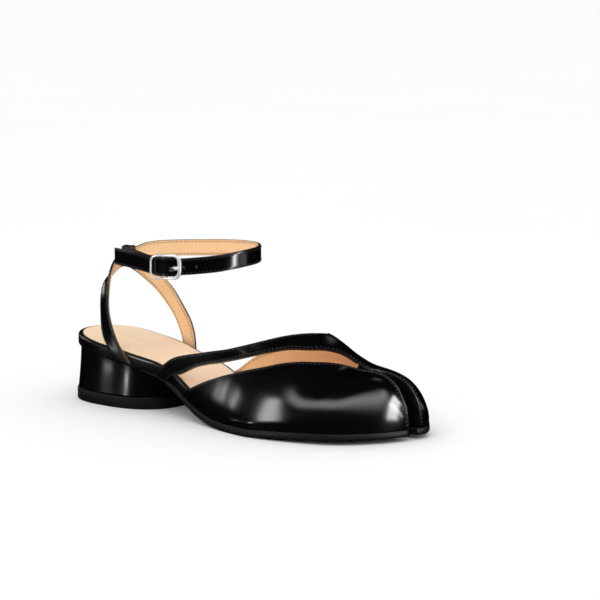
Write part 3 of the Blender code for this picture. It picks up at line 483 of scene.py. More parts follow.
def stitch_row(path, normal, length, pitch, radius):
    """Closed stitches along a path.

    Each stitch is a spindle: with t from -1 to 1 along it, the radius runs as the root of
    1 - t^4, and the centre line dips into the leather at both ends by a parabola.
    """
    places = resample(path, pitch)
    centre, up = pick(path, places), unit(pick(normal, places))
    ahead = unit(np.gradient(centre, axis=0))
    side = unit(np.cross(up, ahead))
    along = np.linspace(-1, 1, STITCH_RINGS)
    turn = np.arange(STITCH_SIDES) * 2 * math.pi / STITCH_SIDES
    swell = radius * np.sqrt(np.maximum(1 - along**4, 0.02))
    dip = -radius * (along**2) * 1.1 + radius * (1 - 2 * STITCH_SINK)
    return (centre[:, None, None] + ahead[:, None, None] * (along * length / 2)[:, None, None]
            + side[:, None, None] * (swell[:, None] * np.cos(turn))[..., None]
            + up[:, None, None] * (dip[:, None] + swell[:, None] * np.sin(turn))[..., None])


def stitching(name, rows, material, slot):
    """One object of many stitches, each closed by a cap at both ends."""
    points, quads, caps, start = [], [], [], 0
    for shape in rows:
        count, rings, around = shape.shape[:3]
        index = np.arange(count * rings * around).reshape(count, rings, around) + start
        wrapped = np.concatenate([index, index[..., :1]], axis=-1)
        quads.append(np.stack([wrapped[:, :-1, :-1], wrapped[:, :-1, 1:], wrapped[:, 1:, 1:],
                               wrapped[:, 1:, :-1]], -1).reshape(-1, 4))
        caps.append(np.concatenate([index[:, 0, ::-1], index[:, -1]]))
        points.append(shape.reshape(-1, 3))
        start += count * rings * around
    mesh = bpy.data.meshes.new(name)
    faces = np.concatenate(quads).tolist() + np.concatenate(caps).tolist()
    mesh.from_pydata(to_metres(np.concatenate(points)).tolist(), [], faces)
    mesh.shade_smooth()
    mesh.materials.append(material)
    work = bmesh.new()
    work.from_mesh(mesh)
    bmesh.ops.recalc_face_normals(work, faces=work.faces)
    work.to_mesh(mesh)
    work.free()
    return dress(placed(name, mesh), slot)


# ---- finishes -----------------------------------------------------------------------------
def new_node(tree, kind, links=(), **values):
    """New node; links maps input names or numbers to sockets or to plain values."""
    made = tree.nodes.new("ShaderNode" + kind)
    for key, value in values.items():
        setattr(made, key, value)
    for key, value in dict(links).items():
        if isinstance(value, bpy.types.NodeSocket):
            tree.links.new(value, made.inputs[key])
        else:
            made.inputs[key].default_value = value
    return made


class Finish:
    """Node tree of a Principled material with short calls for the nodes it needs."""

    def __init__(self, name, **sockets):
        self.material = bpy.data.materials.new(name)
        self.material.use_nodes = True
        self.tree = self.material.node_tree
        self.node = partial(new_node, self.tree)
        self.shader = self.tree.nodes["Principled BSDF"]
        for key, value in sockets.items():
            self.shader.inputs[key.replace("_", " ")].default_value = value
        self.place = self.node("TexCoord").outputs["Object"]

    def noise(self, scale, detail=3.0, rough=0.5, stretch=None):
        """Noise over the object's own place; stretch scales the place first."""
        place = self.place
        if stretch:
            place = self.node("Mapping", {"Vector": place, "Scale": stretch}).outputs[0]
        return self.node("TexNoise", {"Vector": place, "Scale": scale, "Detail": detail,
                                      "Roughness": rough}).outputs["Fac"]

    def cells(self, scale):
        """Distance to the middles of a Voronoi pattern's cells."""
        return self.node("TexVoronoi", {"Vector": self.place, "Scale": scale}).outputs["Distance"]

    def remap(self, value, low, high, to_low, to_high):
        """Value moved from one range to another and held inside it."""
        return self.node("MapRange", {0: value, 1: low, 2: high, 3: to_low, 4: to_high}).outputs[0]

    def maths(self, operation, first, second):
        """Two values put together."""
        return self.node("Math", {0: first, 1: second}, operation=operation).outputs[0]

    def mix(self, factor, first, second):
        """Colour between two colours."""
        return self.node("Mix", {0: factor, 6: first, 7: second}, data_type="RGBA").outputs[2]

    def wear_and_edge_highlight(self):
        """Distance from the nearest edge, 0 at the edge and 1 away from it."""
        return self.node("Attribute", attribute_name="wear_and_edge_highlight").outputs["Fac"]

    def bump(self, height, distance, strength, base=None):
        """Bump of a height, over an earlier bump if one is given."""
        links = {"Height": height, "Distance": distance, "Strength": strength}
        if base is not None:
            links["Normal"] = base
        return self.node("Bump", links).outputs["Normal"]

    def set(self, name, value):
        """Lead a value into the shader."""
        self.tree.links.new(value, self.shader.inputs[name])


def rgba(colour, factor=1.0):
    """Colour with its alpha, scaled in brightness."""
    return tuple(min(1.0, part * factor) for part in colour) + (1.0,)


def polished_leather(name, colour, gloss):
    """Black leather brushed to a shine: faint grain, cloudy gloss, duller edges, and greyer edges
    that are partly wear and partly a painted highlight.
    """
    finish = Finish(name, IOR=1.5, Coat_Weight=0.35, Coat_Roughness=0.08)
    clouds = finish.noise(28.0, 2.0, 0.4)
    grain = finish.cells(950.0)
    pores = finish.noise(2600.0, 2.0, 0.6)
    wear_and_edge_highlight = finish.wear_and_edge_highlight()
    rough = finish.remap(clouds, 0.3, 0.7, gloss - 0.02, gloss + 0.03)
    edge = finish.remap(wear_and_edge_highlight, 0.0, 1.0, 0.16, 0.0)
    finish.set("Roughness", finish.maths("ADD", rough, edge))
    # edges painted up to 3.2 times lighter: partly rubbed wear, partly a painted highlight along
    # the edges
    tone = finish.mix(finish.remap(wear_and_edge_highlight, 0.0, 1.0, 0.5, 0.0), rgba(colour), rgba(colour, 3.2))
    finish.set("Base Color", finish.mix(finish.remap(clouds, 0.3, 0.75, 0.0, 0.35), tone,
                                        rgba(colour, 1.7)))
    first = finish.bump(grain, 0.00005, 0.10)
    finish.set("Normal", finish.bump(pores, 0.00003, 0.12, first))
    return finish.material


def tan_leather(name, colour, warm):
    """Tan leather: mottled tone, fine open pores and a dull, soft sheen."""
    finish = Finish(name, IOR=1.45, Sheen_Weight=0.12, Sheen_Roughness=0.5)
    clouds = finish.noise(36.0, 3.0, 0.55)
    fibre = finish.noise(420.0, 4.0, 0.6, (1.0, 2.4, 1.4))
    pores = finish.cells(1500.0)
    tone = finish.mix(finish.remap(clouds, 0.3, 0.7, 0.0, 0.6), rgba(colour), rgba(warm))
    tone = finish.mix(finish.remap(fibre, 0.45, 0.8, 0.0, 0.28), tone, rgba(warm, 0.8))
    tone = finish.mix(finish.remap(finish.wear_and_edge_highlight(), 0.0, 1.0, 0.55, 0.0), tone, rgba(warm, 0.5))
    finish.set("Base Color", tone)
    finish.set("Roughness", finish.remap(clouds, 0.3, 0.7, 0.42, 0.58))
    first = finish.bump(pores, 0.00006, 0.22)
    finish.set("Normal", finish.bump(fibre, 0.00008, 0.2, first))
    return finish.material


def rubber(name, colour, rough):
    """Moulded rubber: fine dust-grey mottling and a grained, dull face."""
    finish = Finish(name, IOR=1.5, Specular_IOR_Level=0.2)
    speck = finish.noise(900.0, 3.0, 0.6)
    clouds = finish.noise(60.0, 3.0, 0.5)
    finish.set("Base Color", finish.mix(finish.remap(clouds, 0.35, 0.7, 0.0, 0.6), rgba(colour),
                                        rgba(colour, 1.7)))
    finish.set("Roughness", finish.remap(speck, 0.3, 0.7, rough - 0.06, rough + 0.08))
    finish.set("Normal", finish.bump(speck, 0.00008, 0.25))
    return finish.material


def thread(name, colour):
    """Waxed thread: lighter on its plies, with a fine fuzz."""
    finish = Finish(name, IOR=1.45)
    plies = finish.noise(3200.0, 2.0, 0.5)
    finish.set("Base Color", finish.mix(finish.remap(plies, 0.35, 0.65, 0.0, 1.0), rgba(colour),
                                        rgba(colour, 1.9)))
    finish.set("Roughness", finish.remap(plies, 0.3, 0.7, 0.32, 0.5))
    finish.set("Normal", finish.bump(plies, 0.00008, 0.4))
    return finish.material


def polished_metal(name, colour):
    """Plated metal: fine rub marks and a slightly uneven shine over a bright, satin base."""
    finish = Finish(name, Metallic=0.42)
    rub = finish.noise(700.0, 3.0, 0.6, (1.0, 1.0, 7.0))
    clouds = finish.noise(160.0, 2.0, 0.5)
    finish.set("Base Color", finish.mix(finish.remap(clouds, 0.3, 0.7, 0.0, 1.0), rgba(colour),
                                        rgba(colour, 0.86)))
    finish.set("Roughness", finish.remap(rub, 0.3, 0.7, 0.08, 0.2))
    finish.set("Normal", finish.bump(rub, 0.00002, 0.12))
    return finish.material


FINISHES = {}


def finish_of(name):
    """Material by name, made once from the colours in the panel."""
    if name not in FINISHES:
        colours = bpy.context.scene.sandal_colours
        makers = {
            "upper_leather": lambda: polished_leather(name, colours.leather, 0.15),
            "strap_leather": lambda: polished_leather(name, colours.leather, 0.17),
            "body_leather": lambda: polished_leather(name, colours.leather, 0.28),
            "heel_leather": lambda: polished_leather(name, colours.leather, 0.19),
            "gusset_leather": lambda: polished_leather(name, colours.leather, 0.3),
            "lining_leather": lambda: tan_leather(name, colours.lining, colours.lining_shade),
            "insole_leather": lambda: tan_leather(name, colours.insole, colours.insole_shade),
            "outsole_rubber": lambda: rubber(name, colours.sole, 0.42),
            # paler rubber for the outsole's top edge, a painted highlight
            "sole_edge_highlight_rubber": lambda: rubber(name, colours.sole_edge_highlight, 0.35),
            "top_piece_rubber": lambda: rubber(name, colours.sole, 0.55),
            "black_thread": lambda: thread(name, colours.black_thread),
            "strap_thread": lambda: thread(name, colours.strap_thread),
            "tan_thread": lambda: thread(name, colours.tan_thread),
            "buckle_metal": lambda: polished_metal(name, colours.metal),
        }
        FINISHES[name] = makers[name]()
    return FINISHES[name]


def finishes_of(*names):
    """Materials by name, in order."""
    return [finish_of(name) for name in names]


# ---- the upper ----------------------------------------------------------------------------
OUTER_STEPS = np.concatenate([[0.0, 0.03, 0.07], np.linspace(0.11, 1, 40)])
BAND_STEPS = np.linspace(0, 1, 13)
INNER_STEPS = 1 - OUTER_STEPS[::-1]
# The gusset from seam to seam: places of its columns, and how far each is let down to the floor.
GUSSET_STEPS = np.array([0.0, 0.02, 0.06, 0.12, 0.2, 0.3, 0.4, 0.5,
                         0.6, 0.7, 0.8, 0.88, 0.94, 0.98, 1.0])
GUSSET_DEPTH = np.array([0.0, 0.3, 0.55, 0.75, 0.9, 0.97, 1.0, 1.0,
                         1.0, 0.97, 0.9, 0.75, 0.55, 0.3, 0.0])
SIDE_ROWS, QUARTER_ROWS, BRIDGE_ROWS = 90, 50, 26   # rows of the grids behind the toes
ROW_RISE = 1.4              # power by which those rows gather where the edges run steepest
TOE_ROWS = 70               # rows of the toe lobes' grids
TOE_LINED = 31              # how many spans of them have the tan lining inside
BRIDGE_PLACE = 0.24         # place across where the band's grid ends past the throat
UPPER_EDGE_REACH = 2.2            # how far the wear and the painted highlight of an edge reach
THIN_TOE = 121.0            # how far forward the upper has its full wall
THIN_WALL = 0.08            # share of the wall that is left in front of that
EDGE_ROUND = 0.45           # how far the cut edges of the upper are rounded
LINE_STEPS = 240            # steps of the lines that the stitches follow
LINING_THREAD = 1.25        # how much thicker the thread shows on the lining
ROLL = 0.7                  # radius of the folded edge along the gusset's seams
ROLL_SINK = 0.45            # how deep its middle lies in the leather, in its own radii

# Material slots of the upper. The inner face of a face with one slot has the next slot.
UPPER_FINISHES = ("upper_leather", "lining_leather", "upper_leather", "gusset_leather",
                  "gusset_leather", "gusset_leather")
LINED, UNLINED, GUSSET_SLOT = 0, 2, 4


def strip(low, high, steps):
    """Part of the last between two edges, each given as its stations and places across."""
    low, high = (np.stack(np.broadcast_arrays(*side))[..., None] for side in (low, high))
    return last(*(low * (1 - steps) + high * steps))


def outer_vamp(stations):
    """Outer side from the sole up to its top line, which ends at the outer seam."""
    top = edge(VAMP_TOP, stations)
    top[0] = -1 + SKIRT / 3
    top[-1] = seam(-1, OUTER_SEAM_START)
    return strip((stations, -1.0), (stations, top), OUTER_STEPS)


def instep_band(rise):
    """Band from the outer edge of the sole over the instep to the throat's corner."""
    low = BAND_LOW[0][0] + (CORNER - BAND_LOW[0][0]) * rise
    high = BAND_TOP[0][0] + (CORNER - BAND_TOP[0][0]) * rise
    return strip((low, edge(BAND_LOW, low)), (high, edge(BAND_TOP, high)), BAND_STEPS)


def inner_quarter(stations):
    """Inner side behind the throat's corner."""
    top = edge(INNER_TOP, stations)
    top[0] = 1 - SKIRT / 3
    return strip((stations, top), (stations, 1.0), INNER_STEPS)


def inner_side(stations, start, middle):
    """Inner side from an edge near the crest to the sole, with the band's columns first."""
    first = strip((stations, start), (stations, middle), BAND_STEPS)
    second = strip((stations, middle), (stations, 1.0), INNER_STEPS)
    return np.concatenate([first, second[:, 1:]], axis=1)


def bridge(stations):
    """Inner side between the throat's corner and the gusset."""
    low = edge(BAND_LOW, stations)
    low[-1] = seam(1, INNER_SEAM_START)
    way = (stations - CORNER) / (INNER_SEAM_START - CORNER)
    return inner_side(stations, low, BRIDGE_PLACE * way)


def toe_lobes(run):
    """Outer lobe, gusset and inner lobe, for shares of the run from the seams' start to the toe.

    The gusset runs straight from seam to seam and is then let down to its floor.
    """
    near, far = (start + (TOE - start) * run for start in (OUTER_SEAM_START, INNER_SEAM_START))
    outer = strip((near, -1.0), (near, seam(-1, near)), OUTER_STEPS)
    inner = inner_side(far, seam(1, far), BRIDGE_PLACE)
    floor = spline(GUSSET_TABLE["station"], np.array(GUSSET)[:, 1:], (near + far) / 2)[:, None]
    near, far = outer[:, -1:], inner[:, :1]
    steps, depth = GUSSET_STEPS[:, None], GUSSET_DEPTH[:, None]
    gusset = near * (1 - steps) + far * steps + (floor - (near + far) / 2) * depth
    return outer, gusset, inner


def edge_nearness(points, edges):
    """0 on the free edges of a grid and 1 beyond the reach of their wear and painted highlight,
    from the distance to the edge.
    """
    wear_and_edge_highlight = np.ones(points.shape[:2])
    for column in edges:
        away = np.linalg.norm(points - points[:, column:column + 1 or None], axis=-1)
        wear_and_edge_highlight = np.minimum(wear_and_edge_highlight, np.clip(away / UPPER_EDGE_REACH, 0, 1))
    return wear_and_edge_highlight


def vertex_places(mesh):
    """Places of a mesh's vertices, in millimetres."""
    places = np.empty(len(mesh.vertices) * 3, np.float32)
    mesh.vertices.foreach_get("co", places)
    return places.reshape(-1, 3) / MM


def build_upper(sizes):
    """One shell of leather, worked out on the last and then given its wall inwards.

    The wall thins out at the very toe, where both lobes close on the sole.
    """
    rise = np.linspace(0, 1, SIDE_ROWS)**ROW_RISE
    start, inner_start = VAMP_TOP[0][0], INNER_TOP[0][0]
    vamp = outer_vamp(start + (OUTER_SEAM_START - start) * rise)
    band = instep_band(rise)
    quarter = inner_quarter(inner_start + (CORNER - inner_start)
                            * np.linspace(0, 1, QUARTER_ROWS)**ROW_RISE)
    front = bridge(np.linspace(CORNER, INNER_SEAM_START, BRIDGE_ROWS))
    outer, gusset, inner = toe_lobes(np.linspace(0, 1, TOE_ROWS))
    toes = np.where(np.arange(TOE_ROWS - 1) < TOE_LINED, LINED, UNLINED)[:, None]
    skin = Skin()
    for points, finish, edges in ((vamp, LINED, [-1]), (band, LINED, [0, -1]),
                                  (quarter, LINED, [0]), (front, LINED, [0]),
                                  (outer, toes, [-1]), (gusset, GUSSET_SLOT, []),
                                  (inner, toes, [0])):
        skin.grid(points, finish, edge_nearness(points, edges))
    upper = skin.build("upper_shell", finishes_of(*UPPER_FINISHES), closed=False, sharp=0)
    wall = upper.vertex_groups.new(name="wall")
    full = np.flatnonzero(vertex_places(upper.data)[:, 0] < THIN_TOE)
    wall.add(full.tolist(), 1.0, "REPLACE")
    modifier(upper, "SOLIDIFY", thickness=sizes.wall, offset=-1, use_even_offset=False,
             material_offset=1, vertex_group="wall", thickness_vertex_group=THIN_WALL)
    modifier(upper, "BEVEL", width=EDGE_ROUND * MM, segments=3, limit_method="ANGLE",
             angle_limit=math.radians(58), harden_normals=False, use_clamp_overlap=True)
    return dress(upper, "upper_leather", "upper")


def beside(line, stations, distance):
    """Places across at a distance from a line, counted square to it on the last.

    The step across is the distance over the length of the part of one unit across that is
    square to the line. Distances are positive towards the inner side.
    """
    across = line(stations)
    ahead = unit(np.gradient(last(stations, across), axis=0))
    run = np.where(np.abs(across) < NUDGE_ACROSS, NUDGE_ACROSS, 2 * NUDGE_ACROSS)
    over = run_across(stations, across) / run[:, None]
    square = over - ahead * np.sum(over * ahead, axis=-1, keepdims=True)
    return across + distance / np.linalg.norm(square, axis=-1)


def thread_sizes(sizes):
    """Length, pitch and radius of the stitches, in millimetres."""
    return sizes.stitch_length / MM, sizes.stitch_pitch / MM, sizes.thread / MM / 2


def upper_stitches(sizes):
    """Rows of stitches by every edge of the upper, outside and, by the free edges, inside."""
    length, pitch, radius = thread_sizes(sizes)
    inset, depth = sizes.stitch_inset / MM, sizes.wall / MM
    outer_seam, inner_seam = partial(seam, -1), partial(seam, 1)
    # edge or seam, first and last station, distance of the row, stitches on the lining too
    rows = (
        (partial(edge, VAMP_TOP), -12.0, 86.5, -inset, True),
        (partial(edge, BAND_LOW), -27.0, 81.5, inset, True),
        (partial(edge, BAND_TOP), -38.0, 55.0, -inset, True),
        (partial(edge, INNER_TOP), -20.0, 55.5, inset, True),
        (outer_seam, 88.5, 137.0, -inset, False),
        (outer_seam, 88.5, 137.0, -2 * inset, False),
        (inner_seam, 84.0, 137.0, inset, False),
    )
    outside, inside = [], []
    for line, first, final, distance, lined in rows:
        stations = np.linspace(first, final, LINE_STEPS)
        across = beside(line, stations, distance)
        normal, path = last_normal(stations, across), last(stations, across)
        outside.append(stitch_row(path, normal, length, pitch, radius))
        if lined:
            inside.append(stitch_row(path - normal * depth, -normal, length, pitch,
                                     radius * LINING_THREAD))
    stitching("upper_stitches", outside, finish_of("black_thread"), "upper_leather")
    stitching("lining_stitches", inside, finish_of("tan_thread"), "lining_leather")


def seam_rolls():
    """Folded edge of the leather along both seams of the gusset, a half-sunk round roll.

    It swells over its first stretch and thins out before the toe.
    """
    for name, side, start in (("outer", -1, OUTER_SEAM_START), ("inner", 1, INNER_SEAM_START)):
        stations = np.linspace(start + 0.4, TOE - 4.0, 160)
        across = seam(side, stations) * (1 - NUDGE_ACROSS * side)
        normal = last_normal(stations, across)
        path = last(stations, across) - normal * ROLL * ROLL_SINK
        radii = ROLL * (0.5 + 0.5 * blend(stations, start, start + 5)
                        - 0.65 * blend(stations, TOE - 12.0, TOE - 5.0))
        dress(wire(f"{name}_seam_roll", path, normal, radii, [finish_of("upper_leather")]),
              "upper_leather")


# ---- plates: footbed, insole, outsole -----------------------------------------------------
def superellipse(x, a, b, power, angles):
    """Points of a superellipse centred at (x, 0); the angle 0 points to the toes."""
    c, s = np.cos(angles), np.sin(angles)
    return np.stack([x + a * np.sign(c) * np.abs(c)**(2 / power),
                     b * np.sign(s) * np.abs(s)**(2 / power)], axis=-1)


def foot_line(side, stations, margin):
    """Plan of the foot line on one side, moved inwards by a margin that depends on x."""
    name = SIDES[side]
    line = np.moveaxis(section(stations, name + "_x", name + "_y"), 0, -1)
    ahead = unit(np.gradient(line, axis=0))
    inwards = np.stack([ahead[:, 1], -ahead[:, 0]], axis=-1) * side
    return line + inwards * margin(line[:, 0])[:, None]


def flowing(points, count):
    """Smooth line through points, a natural spline over the chord length, count to a span."""
    chord = np.concatenate([[0], np.cumsum(np.linalg.norm(np.diff(points, axis=0), axis=1))])
    places = np.interp(np.arange((len(points) - 1) * count + 1) / count, np.arange(len(points)),
                       chord)
    return spline(chord, points, places)


BED_STATIONS = np.linspace(-78, 102, 25)
BED_TIP = 131               # last station of the footbed's lobes
TIP_SLOPE = 1.35            # how much faster the lobes' tips move in than their sides
SOLE_STATIONS = np.concatenate([np.linspace(-58, 102, 23), np.linspace(107, 139, 8)])
SEAT_ANGLES = np.radians(np.linspace(96, 264, 17))
SOLE_TUCK = 1.2             # how far the outsole lies inside the foot line at its back
BED_NOTCH = (6.1, 103.8, 115.4, 119.6)      # half-width, end, outer and inner lobe tip
SOLE_NOTCH = (2.2, 105.4, 120.0, 122.6)
FINER = 4                   # rows of the plates' grids to a span of their outlines
ARC_ROWS = 10               # rows of the grid along the notch's round end
PLATE_STEPS = np.linspace(0, 1, 13)


def bed_edges(inside):
    """Outer and inner edge of the footbed from the middle of the back to the lobes' tips."""
    def margin(x):
        return inside + (WALL + GAP + 0.3) * blend(x, -64, -46)
    seat = superellipse(SEAT_X, SEAT_A - inside, SEAT_B - inside, SEAT_POWER, SEAT_ANGLES)
    toes = np.linspace(BED_STATIONS[-1], BED_TIP - 1.8 * inside, 6)[1:]
    stations = np.concatenate([BED_STATIONS, toes])
    whole = np.concatenate([foot_line(1, stations, margin)[::-1], seat,
                            foot_line(-1, stations, margin)])
    line = flowing(whole, FINER)
    middle = len(line) // 2
    return line[middle:], line[middle::-1], None


def sole_edges(inside):
    """Outer and inner edge of the outsole and its back edge along the heel's front."""
    def margin(x):
        return inside + SOLE_TUCK - (SOLE_TUCK + FEATHER) * blend(x, -40, 0)
    outer = flowing(foot_line(-1, SOLE_STATIONS, margin), FINER)
    inner = flowing(foot_line(1, SOLE_STATIONS, margin), FINER)
    breast = superellipse(HEEL_X + GAP + 0.4 + inside, HEEL_A, HEEL_B, HEEL_POWER,
                          np.radians(np.linspace(-60, 50, 2 * len(PLATE_STEPS) - 1)))
    breast = np.concatenate([outer[:1], breast[1:-1], inner[:1]])
    return outer, inner, breast


def plate_plan(edges, toe_notch, inside, tip_slope):
    """Plan of a split plate as two grids, outer half and inner half, row by row to the toes.

    Each row runs straight from the edge to the middle line; the middle line drifts to the
    notch's end, then parts into the notch's round end and its two straight sides.
    """
    half, end, outer_tip, inner_tip = toe_notch
    outer, inner, _ = edges(0.0)
    split = int(np.searchsorted((outer[:, 0] + inner[:, 0]) / 2, end))
    outer, inner, back = edges(inside)
    half, end = half + inside, end - inside
    outer_tip, inner_tip = outer_tip - tip_slope * inside, inner_tip - tip_slope * inside
    axis = GUSSET_TABLE["y"][-1]
    rows = len(outer)
    row = np.arange(rows)
    drift = blend(row, split * 0.35, split)[:, None]
    middle = (outer + inner) / 2 * (1 - drift) + np.array([end, axis]) * drift
    arc = np.radians(np.linspace(0, 90, ARC_ROWS + 1))[1:]
    ways = []
    for side, tip in ((-1, outer_tip), (1, inner_tip)):
        left = rows - split - 1 - ARC_ROWS
        straight = np.linspace(end + half, tip, left + 1)[1:]
        x = np.concatenate([end + half * (1 - np.cos(arc)), straight])
        y = axis + side * np.concatenate([half * np.sin(arc), np.full(left, half)])
        ways.append(np.concatenate([middle[:split + 1], np.stack([x, y], axis=-1)]))
    steps = PLATE_STEPS[:, None]
    halves = [outer[:, None] * (1 - steps) + ways[0][:, None] * steps,
              ways[1][:, None] * (1 - steps) + inner[:, None] * steps]
    if back is not None:
        fade = (1 - blend(row, 0, 24))[:, None, None]
        count = len(PLATE_STEPS)
        for grid, curve in zip(halves, (back[:count], back[count - 1:])):
            grid += (curve - grid[0]) * fade
        halves[1][:split + 1, 0] = halves[0][:split + 1, -1]
    return halves, split


def plate_rim(halves, split):
    """Closed outline of the plan: every point of the two grids that lies on the edge."""
    outer, inner = halves
    return np.concatenate([outer[:, 0], outer[-1, 1:], outer[-2:split:-1, -1],
                           inner[split:-1, 0], inner[-1, :-1], inner[::-1, -1],
                           inner[0, -2:0:-1], outer[0, -1:0:-1]])


def plate(name, plan, profile_rows, materials, finishes, dish=None):
    """Closed plate: its edge is a profile carried round the plan, its faces are the grids.

    Each row of the profile says how far inside the plan it runs, the surface it is counted
    from and the height over that; dish lifts or lowers the top face as a function of x and y.
    """
    rings = []
    for inside, level, over in profile_rows:
        halves, split = plan(inside)
        outline = plate_rim(halves, split)
        rings.append(np.column_stack([outline, level(*outline.T) + over]))
    skin = Skin()
    skin.grid(np.stack(rings), np.array(finishes)[:, None], wrap_columns=True)
    for row, finish in ((0, finishes[0]), (-1, finishes[-1])):
        inside, level, over = profile_rows[row]
        for grid in plan(inside)[0]:
            height = level(grid[..., 0], grid[..., 1]) + over
            if dish is not None and row == -1:
                edge_fade = dish(grid[..., 0], grid[..., 1])
                height = height + edge_fade * np.minimum(1, plate_depth(grid))
            skin.grid(np.concatenate([grid, height[..., None]], axis=-1), finish)
    return skin.build(name, materials, weld=0.01, sharp=50)


def plate_depth(grid):
    """0 on the edge rows and columns of a plan grid, rising to 1 inside."""
    rows, columns = grid.shape[:2]
    row = np.minimum(np.arange(rows), rows - 1 - np.arange(rows))[:, None] / 6
    column = np.minimum(np.arange(columns), columns - 1 - np.arange(columns))[None] / 3
    return np.clip(np.minimum(row, column), 0, 1)


def under_bed(x, y):
    """Face that the outsole and the heel turn to the footbed."""
    return bed(x, y) - GAP


def rim_top(x, y):
    """Top of the footbed's rim."""
    return bed(x, y) + profile("rim", x)


def tread(x, y):
    """Underside of the outsole."""
    return under_bed(x, y) - profile("sole", x)


def rounded(inside_from, inside_to, over_from, over_to, level, count=6):
    """Rows of a quarter ellipse between two rows of a plate's profile, upright at the start."""
    turn = np.linspace(0, math.pi / 2, count)
    inside = inside_from + (inside_to - inside_from) * (1 - np.cos(turn))
    over = over_from + (over_to - over_from) * np.sin(turn)
    return [(a, level, b) for a, b in zip(inside, over)]


def build_footbed():
    """Leather-wrapped footbed with a rounded rim, open in the middle for the insole."""
    def plan(inside):
        return plate_plan(bed_edges, BED_NOTCH, inside, TIP_SLOPE)
    rows = [(6.0, bed, 0.0), (0.8, bed, 0.0)]
    rows += [(a, bed, b) for a, _, b in rounded(0.0, 0.8, 0.8, 0.0, bed)[::-1]]
    rows += [(0.0, rim_top, -2.4)] + rounded(0.0, 2.0, -1.9, 0.0, rim_top, 8)
    rows += [(2.3, rim_top, -0.05), (2.6, rim_top, -0.4), (2.8, rim_top, -1.3),
             (5.0, rim_top, -1.3)]
    bed_piece = plate("footbed_rim", plan, rows, [finish_of("body_leather")],
                      [0] * (len(rows) - 1))
    dress(bed_piece, "body_leather", "footbed")

    rows = [(3.2, rim_top, -1.0), (3.05, rim_top, -0.9), (3.05, rim_top, -0.1)]
    rows += rounded(3.05, 3.6, 0.0, 0.4, rim_top, 5)
    insole = plate("insole_sock", plan, rows, [finish_of("insole_leather")],
                   [0] * (len(rows) - 1), dish=footprint)
    dress(insole, "lining_leather", "insole")


# Bowls of the insole under the heel and the ball: depth, x, y, reach along and reach across.
BOWLS = ((0.8, -92, 0, 22, 15), (0.6, 48, 2, 34, 22))


def footprint(x, y):
    """Hollow that a foot leaves in the insole, two shallow bowls."""
    return sum(-deep * np.exp(-((x - at_x) / along)**2 - ((y - at_y) / across)**2)
               for deep, at_x, at_y, along, across in BOWLS)


def build_outsole():
    """Thin rubber sole with softened edges, and a fine pale line where it meets the bed: a painted
    highlight where its top edge catches the light.
    """
    def plan(inside):
        return plate_plan(sole_edges, SOLE_NOTCH, inside, 1.0)
    rows = [(6.0, tread, 0.0), (1.0, tread, 0.0)]
    rows += [(a, tread, b) for a, _, b in rounded(0.0, 1.0, 1.0, 0.0, tread)[::-1]]
    rows += [(0.0, under_bed, -0.95), (0.12, under_bed, -0.8), (0.12, under_bed, -0.7)]
    rows += [(0.0, under_bed, -0.6), (0.0, under_bed, -0.3)]
    rows += rounded(0.0, 0.4, -0.25, 0.0, under_bed, 4)[1:] + [(6.0, under_bed, 0.0)]
    finishes = [0] * (len(rows) - 1)
    # the last spans of the profile, along the top edge, take the paler rubber: a painted highlight
    finishes[-5:-1] = [1] * 4
    sole = plate("outsole_rubber", plan, rows,
                 finishes_of("outsole_rubber", "sole_edge_highlight_rubber"), finishes)
    dress(sole, "outsole_rubber", "outsole")


# ---- the heel -----------------------------------------------------------------------------
def heel_plan(grow):
    """Plan of the heel block, grown by a distance at the back and the sides."""
    angles = np.radians(np.arange(0, 360, 2.5))
    return superellipse(HEEL_X - grow / 2, HEEL_A + grow / 2, HEEL_B + grow, HEEL_POWER, angles)


def closing(ring, shares):
    """Rings that close an end: the ring shrunk to shares of itself round its middle."""
    middle = ring.mean(axis=0)
    return [middle + (ring - middle) * share for share in shares]


FACE_SHARES = (0.0, 0.3, 0.6, 0.85)     # rings of the heel's end faces, as shares of their edge


def stacked(name, rings, material, slot, node):
    """Closed block of rings; its end faces shrink in steps to the middle."""
    stack = closing(rings[0], FACE_SHARES) + rings + closing(rings[-1], FACE_SHARES)[::-1]
    block = Skin().grid(np.stack(stack), wrap_columns=True)
    return dress(block.build(name, [material], sharp=50), slot, node)


def build_heel():
    """Oval block wrapped in leather, flaring softly to its foot, on a proud rubber top piece."""
    foot = TOP_PIECE + GAP
    rings = []
    for share in (0.0, 0.006, 0.02, *np.linspace(0.05, 1, 22)):
        plan = heel_plan(HEEL_FLARE * (1 - share)**1.6 - 0.5 * math.exp(-share / 0.006))
        top = under_bed(*plan.T)
        rings.append(np.column_stack([plan, foot + (top - foot) * share]))
    stacked("heel_block_wrap", rings, finish_of("heel_leather"), "heel_leather", "heel_block")
    full = HEEL_FLARE + TOP_PIECE_PROUD
    steps = ((-0.8, 0.0), (-0.25, 0.12), (0.0, 0.6), (0.0, TOP_PIECE - 0.7),
             (-0.12, TOP_PIECE - 0.25), (-0.45, TOP_PIECE))
    rings = []
    for grow, height in steps:
        plan = heel_plan(full + grow)
        rings.append(np.column_stack([plan, np.full(len(plan), height)]))
    stacked("heel_top_piece_rubber", rings, finish_of("top_piece_rubber"), "top_piece_rubber",
            "heel_top_piece")


